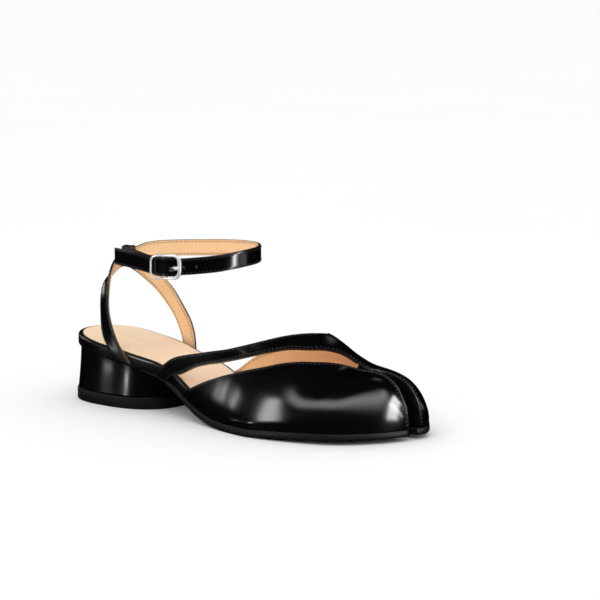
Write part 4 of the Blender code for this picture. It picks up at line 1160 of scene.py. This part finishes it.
# ---- straps -------------------------------------------------------------------------------
CORNER_STEPS = 5            # points round each corner of a strap's section
STRAP_CORNER, SLING_CORNER = 0.35, 0.55     # radius of those corners
CAP_SHARES = (0.0, 0.5, 0.93)       # rings that close a strap's end, as shares of its section
RAW_EDGE, DYED_EDGE = 0.42, 0.08    # share of the edge that shows tan, on the free end, elsewhere
SLING_EDGE = 0.3            # the same share for the sling
STRAP_EDGE_REACH, SLING_BORDER_REACH = 1.6, 2.0   # how far the wear and the painted highlight of their edges reach
SLING_BARE = 14             # rows at each foot of the sling that carry no stitches
TUNNEL_FOLD = 9.0           # how far the black leather of the tunnel reaches down the sling
TUNNEL_CORNERS = (0.4, 1.1) # radius of the tunnel's corners, inside and outside
TUNNEL_LIP = 0.35           # how far its rounded ends stand out, as a share of its wall
STRAP_INSET = 1.25          # distance from the ankle strap's edges to its rows of stitches
STRAP_SWELL = 0.17          # how much wider the belt's overlap is pressed inside the buckle
SEWN = (4, 423)             # angles on the belt between which its stitches run
LINING_END = 345            # angle where the lining's stitches end
FREE_END = 374              # angle where the free end leaves the buckle
SPARE_HOLES = (14.3, 23.9)  # angles of the two spare holes past the bar
HOLE_RADIUS = 0.95


def ring_frames(path, hint, closed=False):
    """Unit vectors across and outward of a path, outward as near the hint as can be."""
    if closed:
        ahead = unit(np.roll(path, -1, axis=0) - np.roll(path, 1, axis=0))
    else:
        ahead = unit(np.gradient(path, axis=0))
    outward = unit(hint - ahead * np.sum(hint * ahead, axis=-1, keepdims=True))
    return np.cross(ahead, outward), outward


def strap_section(width, thick, round_off):
    """Section of a strap: a rectangle whose four corners are quarter circles.

    Points run over the outer face, round the edge, back over the inner face and round the other
    edge; the last axis holds the place across and the place outward.
    """
    half, deep = width / 2 - round_off, thick / 2 - round_off
    turn = np.linspace(0, math.pi / 2, CORNER_STEPS)
    face = np.array([0.6, 0.2, -0.2, -0.6]) * half
    corners = ((1, 1, 0), (1, -1, -1), (-1, -1, -2), (-1, 1, -3))
    points = []
    for side, level, quarter in corners:
        angle = math.pi / 2 - turn + quarter * math.pi / 2
        points.append(np.stack([side * half + round_off * np.cos(angle),
                                level * deep + round_off * np.sin(angle)], axis=-1))
        if quarter in (-1, -3):
            points.append(np.stack([side * face, np.full(len(face), level * thick / 2)], axis=-1))
    return np.concatenate(points)


def carried(centres, across, outward, sections):
    """Rings of a section carried along a path."""
    return (centres[:, None] + sections[..., :1] * across[:, None]
            + sections[..., 1:] * outward[:, None])


def swept(centres, across, outward, sections):
    """Rings of a section along a path, with both ends closed in steps to the middle."""
    rings = carried(centres, across, outward, sections)
    return np.concatenate([closing(rings[0], CAP_SHARES), rings,
                           closing(rings[-1], CAP_SHARES)[::-1]])


def strap_finishes(section_points, thick, share):
    """1 for the lining's side of a strap section and 0 for the leather's side, face by face."""
    middle = (section_points[:, 1] + np.roll(section_points[:, 1], -1)) / 2
    return (middle < -thick / 2 + thick * share).astype(int)


def strap_stitches(names, path, reach, thick, sewn, lined, sizes):
    """Two rows of stitches along a strap, black ones outside and tan ones on its lining.

    The path holds the strap's middle line and its ways across and outward, reach is how far
    from the middle line the rows run, and sewn and lined pick the part of the path with stitches
    outside and on the lining.
    """
    centres, across, outward = path
    length, pitch, radius = thread_sizes(sizes)
    black, tan = [], []
    for side in (-1, 1):
        line = centres + across * (side * reach)[:, None]
        outside, inside = line + outward * thick / 2, line - outward * thick / 2
        black.append(stitch_row(outside[sewn], outward[sewn], length, pitch, radius))
        tan.append(stitch_row(inside[lined], -outward[lined], length, pitch, radius))
    stitching(names[0], black, finish_of("strap_thread"), "strap_leather")
    stitching(names[1], tan, finish_of("tan_thread"), "lining_leather")


def build_sling(sizes):
    """Two risers in one strap round the back of the heel, lined, with a tunnel at the back."""
    rows = len(SLING)
    edges = spline(np.arange(rows), SLING, np.linspace(0, rows - 1, 16 * (rows - 1) + 1))
    low, high = edges[:, :3], edges[:, 3:]
    centres, across = (low + high) / 2, unit(high - low)
    ahead = unit(np.gradient(centres, axis=0))
    outward = unit(np.cross(across, ahead))
    widths = np.linalg.norm(high - low, axis=-1)
    sections = np.stack([strap_section(width, SLING_THICK, SLING_CORNER) for width in widths])
    finishes = strap_finishes(sections[0], SLING_THICK, SLING_EDGE)
    rings = swept(centres, across, outward, sections)
    near = np.abs(np.abs(sections[..., 0]) - widths[:, None] / 2)
    caps = len(CAP_SHARES)
    wear_and_edge_highlight = np.pad(np.clip(near / SLING_BORDER_REACH, 0, 1), ((caps, caps), (0, 0)), "edge")
    folded = np.linalg.norm(centres - tunnel_middle(), axis=-1) < TUNNEL_FOLD
    folded = np.pad(folded, caps, "edge")[:-1]
    sling = Skin().grid(rings, np.where(folded[:, None], 0, finishes), wear_and_edge_highlight, wrap_columns=True)
    sling = sling.build("heel_sling_strap", finishes_of("strap_leather", "lining_leather"),
                        sharp=60)
    dress(sling, "strap_leather", "heel_sling")
    dress(tunnel(), "strap_leather")
    sewn = slice(SLING_BARE, -SLING_BARE)
    strap_stitches(("sling_stitches", "sling_lining_stitches"), (centres, across, outward),
                   widths / 2 - sizes.stitch_inset / MM, SLING_THICK, sewn, sewn, sizes)


def ankle_point(angle, offset, rise):
    """Point by the ankle loop: angle in degrees (0 back, 90 outer side, 180 front), distance
    outside the loop's middle line, and height over its half-width line."""
    turn = np.radians(angle)
    sag = ANKLE_SAG * np.exp(-(np.sin((turn - math.radians(BUCKLE_ANGLE)) / 2) / 0.33)**2)
    normal = unit(np.stack([-np.cos(turn) / ANKLE_A, -np.sin(turn) / ANKLE_B], axis=-1))
    plan = np.stack([ANKLE_X - ANKLE_A * np.cos(turn), -ANKLE_B * np.sin(turn)], axis=-1)
    height = (ANKLE_TOP + ANKLE_TILT * (plan[..., 0] - ANKLE_X) + ANKLE_LEAN * plan[..., 1]
              - STRAP_WIDTH / 2 - sag + rise)
    plan = plan + normal * np.asarray(offset)[..., None]
    outward = np.concatenate([normal, np.zeros_like(normal[..., :1])], axis=-1)
    return np.concatenate([plan, height[..., None]], axis=-1), outward


def belt_line(turns):
    """Middle line of the belt at angles counted from the bar, and its outward direction."""
    belt = columns(BELT_COLUMNS, BELT)
    offset, rise = (steady(belt["turn"], belt[name], turns) for name in ("offset", "rise"))
    return ankle_point(BUCKLE_ANGLE - turns, offset, rise)


def tunnel_middle():
    """Middle of the tunnel on the ankle loop."""
    return belt_line(np.array([BUCKLE_ANGLE - sum(SLEEVE) / 2]))[0][0]


def tunnel():
    """Leather loop at the back of the sling that the ankle strap runs through.

    A thin wall carried round the strap's section: out along the outer face, over a rounded lip,
    back along the inner face and over the other lip.
    """
    centres, outward = belt_line(BUCKLE_ANGLE - np.linspace(*SLEEVE, 12))
    across, outward = ring_frames(centres, outward)
    width, thick = STRAP_WIDTH + 2 * GAP, STRAP_THICK + 2 * GAP
    inner = strap_section(width, thick, TUNNEL_CORNERS[0])
    outer = strap_section(width + 2 * SLEEVE_WALL, thick + 2 * SLEEVE_WALL, TUNNEL_CORNERS[1])
    outside, inside = (carried(centres, across, outward, shape) for shape in (outer, inner))
    ahead = unit(np.gradient(centres, axis=0))
    lip = SLEEVE_WALL * TUNNEL_LIP
    first = (outside[:1] + inside[:1]) / 2 - ahead[0] * lip
    final = (outside[-1:] + inside[-1:]) / 2 + ahead[-1] * lip
    wall = np.concatenate([first, outside, final, inside[::-1]])
    skin = Skin().grid(wall, wrap_rows=True, wrap_columns=True)
    return skin.build("sling_tunnel", [finish_of("strap_leather")], sharp=70)


def build_ankle_strap(sizes):
    """One belt: sewn end under the bar, round the ankle, over the bar, free squared tip."""
    turns = np.concatenate([np.linspace(-3.5, 330, 240), np.linspace(331.5, 380, 90),
                            np.linspace(381, 426, 70)])
    centres, outward = belt_line(turns)
    across, outward = ring_frames(centres, outward)
    section_points = strap_section(STRAP_WIDTH, STRAP_THICK, STRAP_CORNER)
    swell = STRAP_SWELL * (blend(turns, 348, 352) - blend(turns, 368.5, 372))
    spread = np.stack([1 + swell, np.ones(len(turns))], axis=-1)
    sections = section_points * spread[:, None]
    bare = np.pad(turns > FREE_END, len(CAP_SHARES), constant_values=True)[:-1, None]
    finishes = np.where(bare, strap_finishes(section_points, STRAP_THICK, RAW_EDGE),
                        strap_finishes(section_points, STRAP_THICK, DYED_EDGE))
    rings = swept(centres, across, outward, sections)
    wear_and_edge_highlight = np.clip((STRAP_WIDTH / 2 - np.abs(section_points[:, 0])) / STRAP_EDGE_REACH, 0, 1)[None]
    strap = Skin().grid(rings, finishes, wear_and_edge_highlight, wrap_columns=True)
    strap = strap.build("ankle_strap_belt", finishes_of("strap_leather", "lining_leather"),
                        sharp=60)
    cutters = [slot_cutter()] + [hole_cutter(angle) for angle in SPARE_HOLES]
    for cutter in cutters:
        cut_away(strap, cutter)
    dress(strap, "strap_leather", "ankle_strap")
    sewn = (turns > SEWN[0]) & (turns < SEWN[1])
    strap_stitches(("ankle_strap_stitches", "ankle_lining_stitches"), (centres, across, outward),
                   STRAP_WIDTH / 2 * (1 + swell) - STRAP_INSET, STRAP_THICK, sewn,
                   sewn & (turns < LINING_END), sizes)


def slot_cutter():
    """Oblong hole in the free end that the prong comes through."""
    turns = np.linspace(*PRONG_SLOT, SLOT_STEPS) / MM_PER_DEGREE
    path, outward = ankle_point(BUCKLE_ANGLE + turns, np.full(SLOT_STEPS, SLOT_OFFSET),
                                PRONG_RISE)
    across, outward = ring_frames(path, outward)
    shape = strap_section(2 * PRONG + SLOT_AIR, SLOT_DEPTH, SLOT_CORNER)
    rings = swept(path, across, outward, np.broadcast_to(shape, (SLOT_STEPS, *shape.shape)))
    return Skin().grid(rings, wrap_columns=True).build("slot_cutter", [finish_of("strap_leather")])


def hole_cutter(angle):
    """Ball that presses a blind round hole into the belt at an angle past the bar."""
    middle, outward = belt_line(np.array([360.0 - angle]))
    middle, outward = middle[0] + outward[0] * (STRAP_THICK / 2 + 0.1), outward[0]
    ahead = np.cross(outward, (0.0, 0.0, 1.0))
    turn, rise = np.radians(np.arange(0, 360, 15)), np.radians(np.linspace(-90, 90, 13))
    ring = np.cos(turn)[:, None] * ahead + np.sin(turn)[:, None] * np.array([0.0, 0.0, 1.0])
    rings = middle + HOLE_RADIUS * (np.cos(rise)[:, None, None] * ring
                                    + np.sin(rise)[:, None, None] * outward)
    return Skin().grid(rings, wrap_columns=True).build("hole_cutter", [finish_of("strap_leather")])


def cut_away(item, cutter):
    """Apply an exact cut and take the cutter away."""
    cut = modifier(item, "BOOLEAN", object=cutter, operation="DIFFERENCE", solver="EXACT")
    with bpy.context.temp_override(object=item, active_object=item):
        bpy.ops.object.modifier_apply(modifier=cut.name)
    bpy.data.objects.remove(cutter)


# ---- the buckle ---------------------------------------------------------------------------
# The pin of the prong: distance from the bar towards the front, distance outside the loop's
# middle line. It hides in the belt's slot until shortly before the frame's front.
PIN_PATH = ((1.5, 1.95), (3.0, 2.3), (4.5, 3.1), (6.0, 4.7), (7.2, 6.0), (8.9, 6.25))
PRONG_SLOT = (2.8, 6.0)     # the slot it comes through, counted the same way
SLOT_STEPS = 6              # points along the slot's cutter
SLOT_OFFSET, SLOT_DEPTH = 3.0, 4.4  # where that runs outside the loop's middle line, its depth
SLOT_AIR, SLOT_CORNER = 0.3, 0.4    # how much wider it is than the prong, its corners' radius
FRAME_DROP = 0.4            # how far the frame hangs below the loop's middle line
FRAME_STRETCH = 1.05        # how much taller the frame is than the bar's clear height
FRAME_POWER, WIRE_POWER = 4.5, 2.5  # how square the frame's plan and its wire's section are
# The half-width and the half-depth of the frame's wire, as shares of the wire's radius: at the
# back, and what the front adds.
FRAME_WIDE, FRAME_DEEP = (0.57, 0.53), (0.62, 0.2)
WIRE_TURN = np.radians(np.arange(0, 360, 22.5))     # angles round a wire


def build_buckle():
    """Bowed frame with a thin round back and a broad flattened front, its bar and its prong."""
    angles = np.radians(np.arange(0, 360, 3))
    half_long, half_high = BUCKLE_LENGTH / 2 - WIRE, BUCKLE_HEIGHT / 2 - WIRE
    plan = superellipse(0.0, half_long, half_high, FRAME_POWER, angles)
    bow = steady((-half_long, 0.0, half_long), FRAME_BOW, plan[:, 0])
    path, outward = ankle_point(BUCKLE_ANGLE + plan[:, 0] / MM_PER_DEGREE, bow,
                                plan[:, 1] * FRAME_STRETCH - FRAME_DROP)
    across, outward = ring_frames(path, outward, closed=True)
    front = blend(plan[:, 0], half_long * 0.2, half_long * 0.95)
    wide, deep = (WIRE * (back + more * front) for back, more in (FRAME_WIDE, FRAME_DEEP))
    shape = superellipse(0.0, wide[:, None], deep[:, None], WIRE_POWER, WIRE_TURN)
    skin = Skin().grid(carried(path, across, outward, shape), wrap_rows=True, wrap_columns=True)
    metal = [finish_of("buckle_metal")]
    dress(skin.build("buckle_frame_loop", metal, sharp=0), "buckle_metal", "buckle_frame")

    rise = np.linspace(-half_high, half_high, 12)
    path, outward = ankle_point(np.full(12, BUCKLE_ANGLE), np.full(12, BAR_OFFSET), rise)
    dress(wire("buckle_bar", path, outward, np.full(12, BAR), metal), "buckle_metal")

    along, offset = np.array(PIN_PATH).T
    places = np.linspace(0, len(along) - 1, 40)
    rows = np.arange(len(along))
    along, offset = spline(rows, along, places), spline(rows, offset, places)
    path, outward = ankle_point(BUCKLE_ANGLE + along / MM_PER_DEGREE, offset, PRONG_RISE)
    radii = PRONG * (1.0 + 0.9 * blend(places, 3.2, 4.2))
    dress(wire("buckle_prong_pin", path, outward, radii, metal), "buckle_metal", "buckle_prong")


def wire(name, path, outward, radii, materials):
    """Round wire along a path, its ends rounded by rings that shrink as a quarter circle."""
    across, outward = ring_frames(path, outward)
    ahead = unit(np.gradient(path, axis=0))
    quarter = np.radians([90, 70, 45, 20])
    first = [(path[0] - ahead[0] * radii[0] * math.sin(a), radii[0] * math.cos(a), 0)
             for a in quarter]
    final = [(path[-1] + ahead[-1] * radii[-1] * math.sin(a), radii[-1] * math.cos(a), -1)
             for a in quarter[::-1]]
    middle = [(point, radius, row) for row, (point, radius) in enumerate(zip(path, radii))]
    rings = [centre + radius * (np.cos(WIRE_TURN)[:, None] * across[row]
                                + np.sin(WIRE_TURN)[:, None] * outward[row])
             for centre, radius, row in first + middle + final]
    return Skin().grid(np.stack(rings), wrap_columns=True).build(name, materials, sharp=0)


# ---- stage --------------------------------------------------------------------------------
CAMERA = {"azimuth": 38.0, "elevation": 9.5, "distance": 1.5, "lens": 148.8}
CAMERA_AIM = (0.02006, 0.03114, 0.06885)
SUN = {"azimuth": 5.0, "elevation": 62.0, "energy": 0.8, "angle": 70.0}
FLOOR_REACH = 24.0          # half the floor's side, in metres

# Reflector cards round the shoe. Each is a ribbon of soft light seen from a place on the shoe:
# its rows give the azimuth and elevation of its two sides in degrees. Place and distance are in
# metres, the glow says how brightly it shines in the polish, and the last two numbers are the
# shares of its width and of its length that fade out at each side and at each end.
CARD_COLUMNS = ("place", "distance", "glow", "side_fade", "end_fade", "rows")
CARDS = (
    # the key light, a patch on the outer side of the vamp
    ((0.04, -0.03, 0.03), 1.6, 7.6, 0.38, 0.15,
     ((-46, 42, -31, 45), (-42, 33, -25, 37), (-38, 25, -20, 28), (-35, 17, -16, 19),
      (-32, 9, -14, 10), (-30, 2, -12, 2))),
    # a small one behind it
    ((0.02, -0.04, 0.02), 1.6, 8.0, 0.48, 0.4,
     ((-63.5, 34, -59.5, 34), (-62.5, 25, -58.5, 25), (-62.5, 17, -58.5, 17),
      (-62, 9, -58.5, 9))),
    # the sheet over the toes, a crescent that follows the curve of the vamp
    ((0.06, -0.02, 0.04), 1.6, 3.0, 0.48, 0.14,
     ((-46, 48, -40, 66), (-26, 39, -20, 62), (-8, 32, -4, 61), (10, 25, 10, 61),
      (40, 14, 40, 64), (60, 2, 62, 66), (76, -4, 84, 66), (96, 8, 104, 64), (114, 20, 122, 60))),
    # the narrow window before the toes
    ((0.105, 0.0, 0.025), 0.2, 17.0, 0.33, 0.1,
     ((81, -13, 91, -12), (83, -4, 93, -5), (86, 3, 95, -1), (89, 9, 99, 4), (94, 15, 104, 10),
      (102, 21, 110, 14), (115, 26, 119, 18), (132, 28, 132, 19))),
    # two strips for the front of the ankle strap
    ((0.003, -0.012, 0.09), 0.3, 6.0, 0.45, 0.2,
     ((94, -16, 106, -16), (93, -8, 105, -8), (92, 0, 104, 0))),
    ((0.003, -0.012, 0.09), 0.3, 0.9, 0.3, 0.2, ((108, -14, 134, -14), (108, -3, 134, -3))),
    # streaks on the heel and on the sling
    ((-0.09, -0.03, 0.02), 0.3, 21.0, 0.48, 0.4,
     ((-18.5, -6, -8, -6), (-18, -4.2, -7.5, -4.2), (-17, -2.4, -6.5, -2.4))),
    ((-0.09, -0.03, 0.02), 0.3, 8.0, 0.45, 0.5, ((-45, -7.2, -35, -7.2), (-45, -4.6, -35, -4.6))),
    ((-0.08, -0.03, 0.06), 1.0, 2.5, 0.45, 0.2,
     ((-113, 9, -107, 15), (-101, 3, -96, 10), (-89, -4, -87, 3))),
    # a dim one behind, for the instep band by the throat
    ((0.04, 0.0, 0.05), 1.6, 0.55, 0.45, 0.45,
     ((180, 44, 206, 44), (178, 54, 204, 54), (174, 63, 200, 63))),
    # a dim one on the inner side, for the far views
    ((0.0, 0.0, 0.04), 1.6, 2.0, 0.45, 0.3, ((264, 0, 292, 0), (264, 50, 292, 50))),
)


def back_vector(azimuth, elevation):
    """Unit vector from the shoe to a viewer at an azimuth and elevation in degrees."""
    a, e = np.radians(azimuth), np.radians(elevation)
    return np.stack(np.broadcast_arrays(np.sin(a) * np.cos(e), -np.cos(a) * np.cos(e),
                                        np.sin(e)), axis=-1)


def aimed(item, place, target):
    """Put an object at a place and turn its -Z axis to a target."""
    way = Vector(np.array(target) - np.array(place))
    item.location = place
    item.rotation_mode = "QUATERNION"
    item.rotation_quaternion = way.to_track_quat("-Z", "Y")


def staged(name, points, material):
    """Object of the stage from a grid of points in metres."""
    rows, across = points.shape[:2]
    index = np.arange(rows * across).reshape(rows, across)
    mesh = bpy.data.meshes.new(name)
    mesh.from_pydata(points.reshape(-1, 3).tolist(), [], neighbours(index).reshape(-1, 4).tolist())
    mesh.materials.append(material)
    item = placed(name, mesh)
    return item


def build_floor(colours):
    """Pale painted floor."""
    finish = Finish("floor_paint", Roughness=0.9)
    clouds = finish.remap(finish.noise(3.0, 2.0), 0.3, 0.7, 0.0, 1.0)
    finish.set("Base Color", finish.mix(clouds, rgba(colours.floor), rgba(colours.floor, 0.985)))
    ramp = np.linspace(-FLOOR_REACH, FLOOR_REACH, 17)
    x, y = np.meshgrid(ramp, ramp, indexing="ij")
    floor = staged("floor", np.stack([x, -y, np.zeros_like(x)], axis=-1), finish.material)
    floor.visible_glossy = False


def card_light(name, glow):
    """Light of a card, fading with the value "soft" to its edges, that hides nothing behind."""
    finish = bpy.data.materials.new(name)
    finish.use_nodes = True
    finish.cycles.emission_sampling = "NONE"
    tree = finish.node_tree
    tree.nodes.clear()
    soft = new_node(tree, "Attribute", attribute_name="soft").outputs["Fac"]
    power = new_node(tree, "Math", {0: soft, 1: glow}, operation="MULTIPLY").outputs[0]
    light = new_node(tree, "Emission", {"Strength": power}).outputs[0]
    clear = new_node(tree, "BsdfTransparent").outputs[0]
    both = new_node(tree, "AddShader", {0: light, 1: clear}).outputs[0]
    new_node(tree, "OutputMaterial", {"Surface": both})
    return finish


def build_cards():
    """Soft cards seen only in the polish, each a ribbon on a sphere round a place of the shoe."""
    along, across = np.linspace(0, 1, 49)[:, None], np.linspace(0, 1, 25)[None]
    for number, values in enumerate(CARDS):
        card = dict(zip(CARD_COLUMNS, values))
        rows = np.array(card["rows"], float)
        sides = spline(np.arange(len(rows)), rows, along[:, 0] * (len(rows) - 1))[:, None]
        angles = sides[..., :2] * (1 - across[..., None]) + sides[..., 2:] * across[..., None]
        points = back_vector(angles[..., 0], angles[..., 1]) * card["distance"] + card["place"]
        item = staged(f"card_{number}", points, card_light(f"card_{number}", card["glow"]))
        shade = (blend(np.minimum(across, 1 - across), 0, card["side_fade"])
                 * blend(np.minimum(along, 1 - along), 0, card["end_fade"]))
        soft_edge = item.data.attributes.new("soft", "FLOAT", "POINT")
        soft_edge.data.foreach_set("value", shade.astype(np.float32).ravel())
        item.visible_camera = item.visible_diffuse = item.visible_shadow = False


def build_stage(colours):
    """Pale floor, cards for the shine, a soft sun, a pale room and the camera."""
    scene = bpy.context.scene
    build_floor(colours)
    build_cards()
    light = bpy.data.lights.new("soft_sun", "SUN")
    light.energy, light.angle = SUN["energy"], math.radians(SUN["angle"])
    item = placed("soft_sun", light)
    item.visible_glossy = False
    aimed(item, back_vector(SUN["azimuth"], SUN["elevation"]) * 2.0, (0.0, 0.0, 0.0))

    world = bpy.data.worlds.new("room")
    scene.world = world
    world.use_nodes = True
    background = world.node_tree.nodes["Background"]
    background.inputs["Color"].default_value = rgba(colours.room)
    background.inputs["Strength"].default_value = 1.0
    world.cycles_visibility.glossy = False

    camera = bpy.data.cameras.new("camera")
    camera.lens = CAMERA["lens"]
    camera.sensor_width = 36.0
    camera.clip_start, camera.clip_end = 0.1, 20.0
    item = placed("camera", camera)
    away = back_vector(CAMERA["azimuth"], CAMERA["elevation"]) * CAMERA["distance"]
    aimed(item, np.array(CAMERA_AIM) + away, CAMERA_AIM)
    scene.camera = item
    scene.view_settings.view_transform = "Standard"


# ---- add-on -------------------------------------------------------------------------------
def length(name, description, millimetres):
    """Length property in metres with a default in millimetres."""
    return FloatProperty(name=name, description=description, default=millimetres * MM, min=0.0,
                         subtype="DISTANCE", unit="LENGTH", precision=5)


def colour(name, description, value):
    """Colour property in linear light."""
    return FloatVectorProperty(name=name, description=description, default=value, size=3,
                               subtype="COLOR", min=0.0, max=1.0)


class SandalSizes(bpy.types.PropertyGroup):
    """Sizes of the sandal's leather and thread."""
    wall: length("Upper wall", "Thickness of the upper with its lining", WALL)
    stitch_length: length("Stitch length", "Length of one stitch that shows", 1.6)
    stitch_pitch: length("Stitch pitch", "Distance from stitch to stitch", 2.4)
    stitch_inset: length("Stitch inset", "Distance from an edge to its row of stitches", 1.4)
    thread: length("Thread", "Thickness of the thread", 0.46)


class SandalColours(bpy.types.PropertyGroup):
    """Colours of the sandal's materials, in linear light."""
    leather: colour("Leather", "Polished leather of the upper, straps and heel",
                    (0.0016, 0.0016, 0.002))
    lining: colour("Lining", "Tan leather inside the upper and the straps", (0.98, 0.66, 0.37))
    lining_shade: colour("Lining shade", "Darker tone of the lining", (0.93, 0.57, 0.29))
    insole: colour("Insole", "Tan leather of the insole", (0.96, 0.73, 0.515))
    insole_shade: colour("Insole shade", "Darker tone of the insole", (0.87, 0.62, 0.41))
    sole: colour("Sole", "Rubber of the outsole and the top piece", (0.0042, 0.0042, 0.0046))
    # painted highlight: paler rubber for the catch-light along the outsole's top edge
    sole_edge_highlight: colour("Joint", "Fine line where the outsole meets the upper", (0.012, 0.012, 0.013))
    black_thread: colour("Black thread", "Thread on the leather", (0.024, 0.024, 0.026))
    strap_thread: colour("Strap thread", "Thread on the straps", (0.011, 0.011, 0.012))
    tan_thread: colour("Tan thread", "Thread on the lining", (0.3, 0.135, 0.05))
    metal: colour("Metal", "Plating of the buckle", (0.93, 0.93, 0.94))
    floor: colour("Floor", "Paint of the floor", (0.9, 0.9, 0.9))
    room: colour("Room", "Light of the room around", (0.95, 0.95, 0.95))


class SANDAL_OT_upper(bpy.types.Operator):
    """Build the upper with its lining and its stitches"""
    bl_idname = "sandal.upper"
    bl_label = "Upper"

    def execute(self, context):
        build_upper(context.scene.sandal_sizes)
        upper_stitches(context.scene.sandal_sizes)
        seam_rolls()
        return {"FINISHED"}


class SANDAL_OT_footbed(bpy.types.Operator):
    """Build the wrapped footbed and the insole that lies in it"""
    bl_idname = "sandal.footbed"
    bl_label = "Footbed and insole"

    def execute(self, context):
        build_footbed()
        return {"FINISHED"}


class SANDAL_OT_outsole(bpy.types.Operator):
    """Build the rubber outsole"""
    bl_idname = "sandal.outsole"
    bl_label = "Outsole"

    def execute(self, context):
        build_outsole()
        return {"FINISHED"}


class SANDAL_OT_heel(bpy.types.Operator):
    """Build the wrapped heel block and its rubber top piece"""
    bl_idname = "sandal.heel"
    bl_label = "Heel"

    def execute(self, context):
        build_heel()
        return {"FINISHED"}


class SANDAL_OT_sling(bpy.types.Operator):
    """Build the heel sling with its tunnel and its stitches"""
    bl_idname = "sandal.sling"
    bl_label = "Heel sling"

    def execute(self, context):
        build_sling(context.scene.sandal_sizes)
        return {"FINISHED"}


class SANDAL_OT_ankle_strap(bpy.types.Operator):
    """Build the ankle strap with its holes and its stitches"""
    bl_idname = "sandal.ankle_strap"
    bl_label = "Ankle strap"

    def execute(self, context):
        build_ankle_strap(context.scene.sandal_sizes)
        return {"FINISHED"}


class SANDAL_OT_buckle(bpy.types.Operator):
    """Build the buckle's frame, bar and prong"""
    bl_idname = "sandal.buckle"
    bl_label = "Buckle"

    def execute(self, context):
        build_buckle()
        return {"FINISHED"}


class SANDAL_OT_stage(bpy.types.Operator):
    """Set up the floor, the reflector cards, the light and the camera"""
    bl_idname = "sandal.stage"
    bl_label = "Stage"

    def execute(self, context):
        build_stage(context.scene.sandal_colours)
        return {"FINISHED"}


STEPS = (SANDAL_OT_upper, SANDAL_OT_footbed, SANDAL_OT_outsole, SANDAL_OT_heel,
         SANDAL_OT_sling, SANDAL_OT_ankle_strap, SANDAL_OT_buckle, SANDAL_OT_stage)


class SANDAL_PT_panel(bpy.types.Panel):
    """Panel that lists the sandal's pieces, sizes and colours"""
    bl_label = "Split-toe sandal"
    bl_idname = "SANDAL_PT_panel"
    bl_space_type = "VIEW_3D"
    bl_region_type = "UI"
    bl_category = "Sandal"

    def draw(self, context):
        for step in STEPS:
            self.layout.operator(step.bl_idname)
        for group in (context.scene.sandal_sizes, context.scene.sandal_colours):
            box = self.layout.box()
            for name in group.bl_rna.properties.keys():
                if name not in ("rna_type", "name"):
                    box.prop(group, name)


CLASSES = (SandalSizes, SandalColours, *STEPS, SANDAL_PT_panel)


def register():
    """Register the classes and hang the settings on the scene."""
    for item in CLASSES:
        bpy.utils.register_class(item)
    bpy.types.Scene.sandal_sizes = PointerProperty(type=SandalSizes)
    bpy.types.Scene.sandal_colours = PointerProperty(type=SandalColours)


def unregister():
    """Take the settings and the classes away again."""
    del bpy.types.Scene.sandal_colours
    del bpy.types.Scene.sandal_sizes
    for item in reversed(CLASSES):
        bpy.utils.unregister_class(item)


def main():
    """Build every piece and the stage."""
    register()
    for step in STEPS:
        group, name = step.bl_idname.split(".")
        getattr(getattr(bpy.ops, group), name)()


if __name__ == "__main__":
    main()
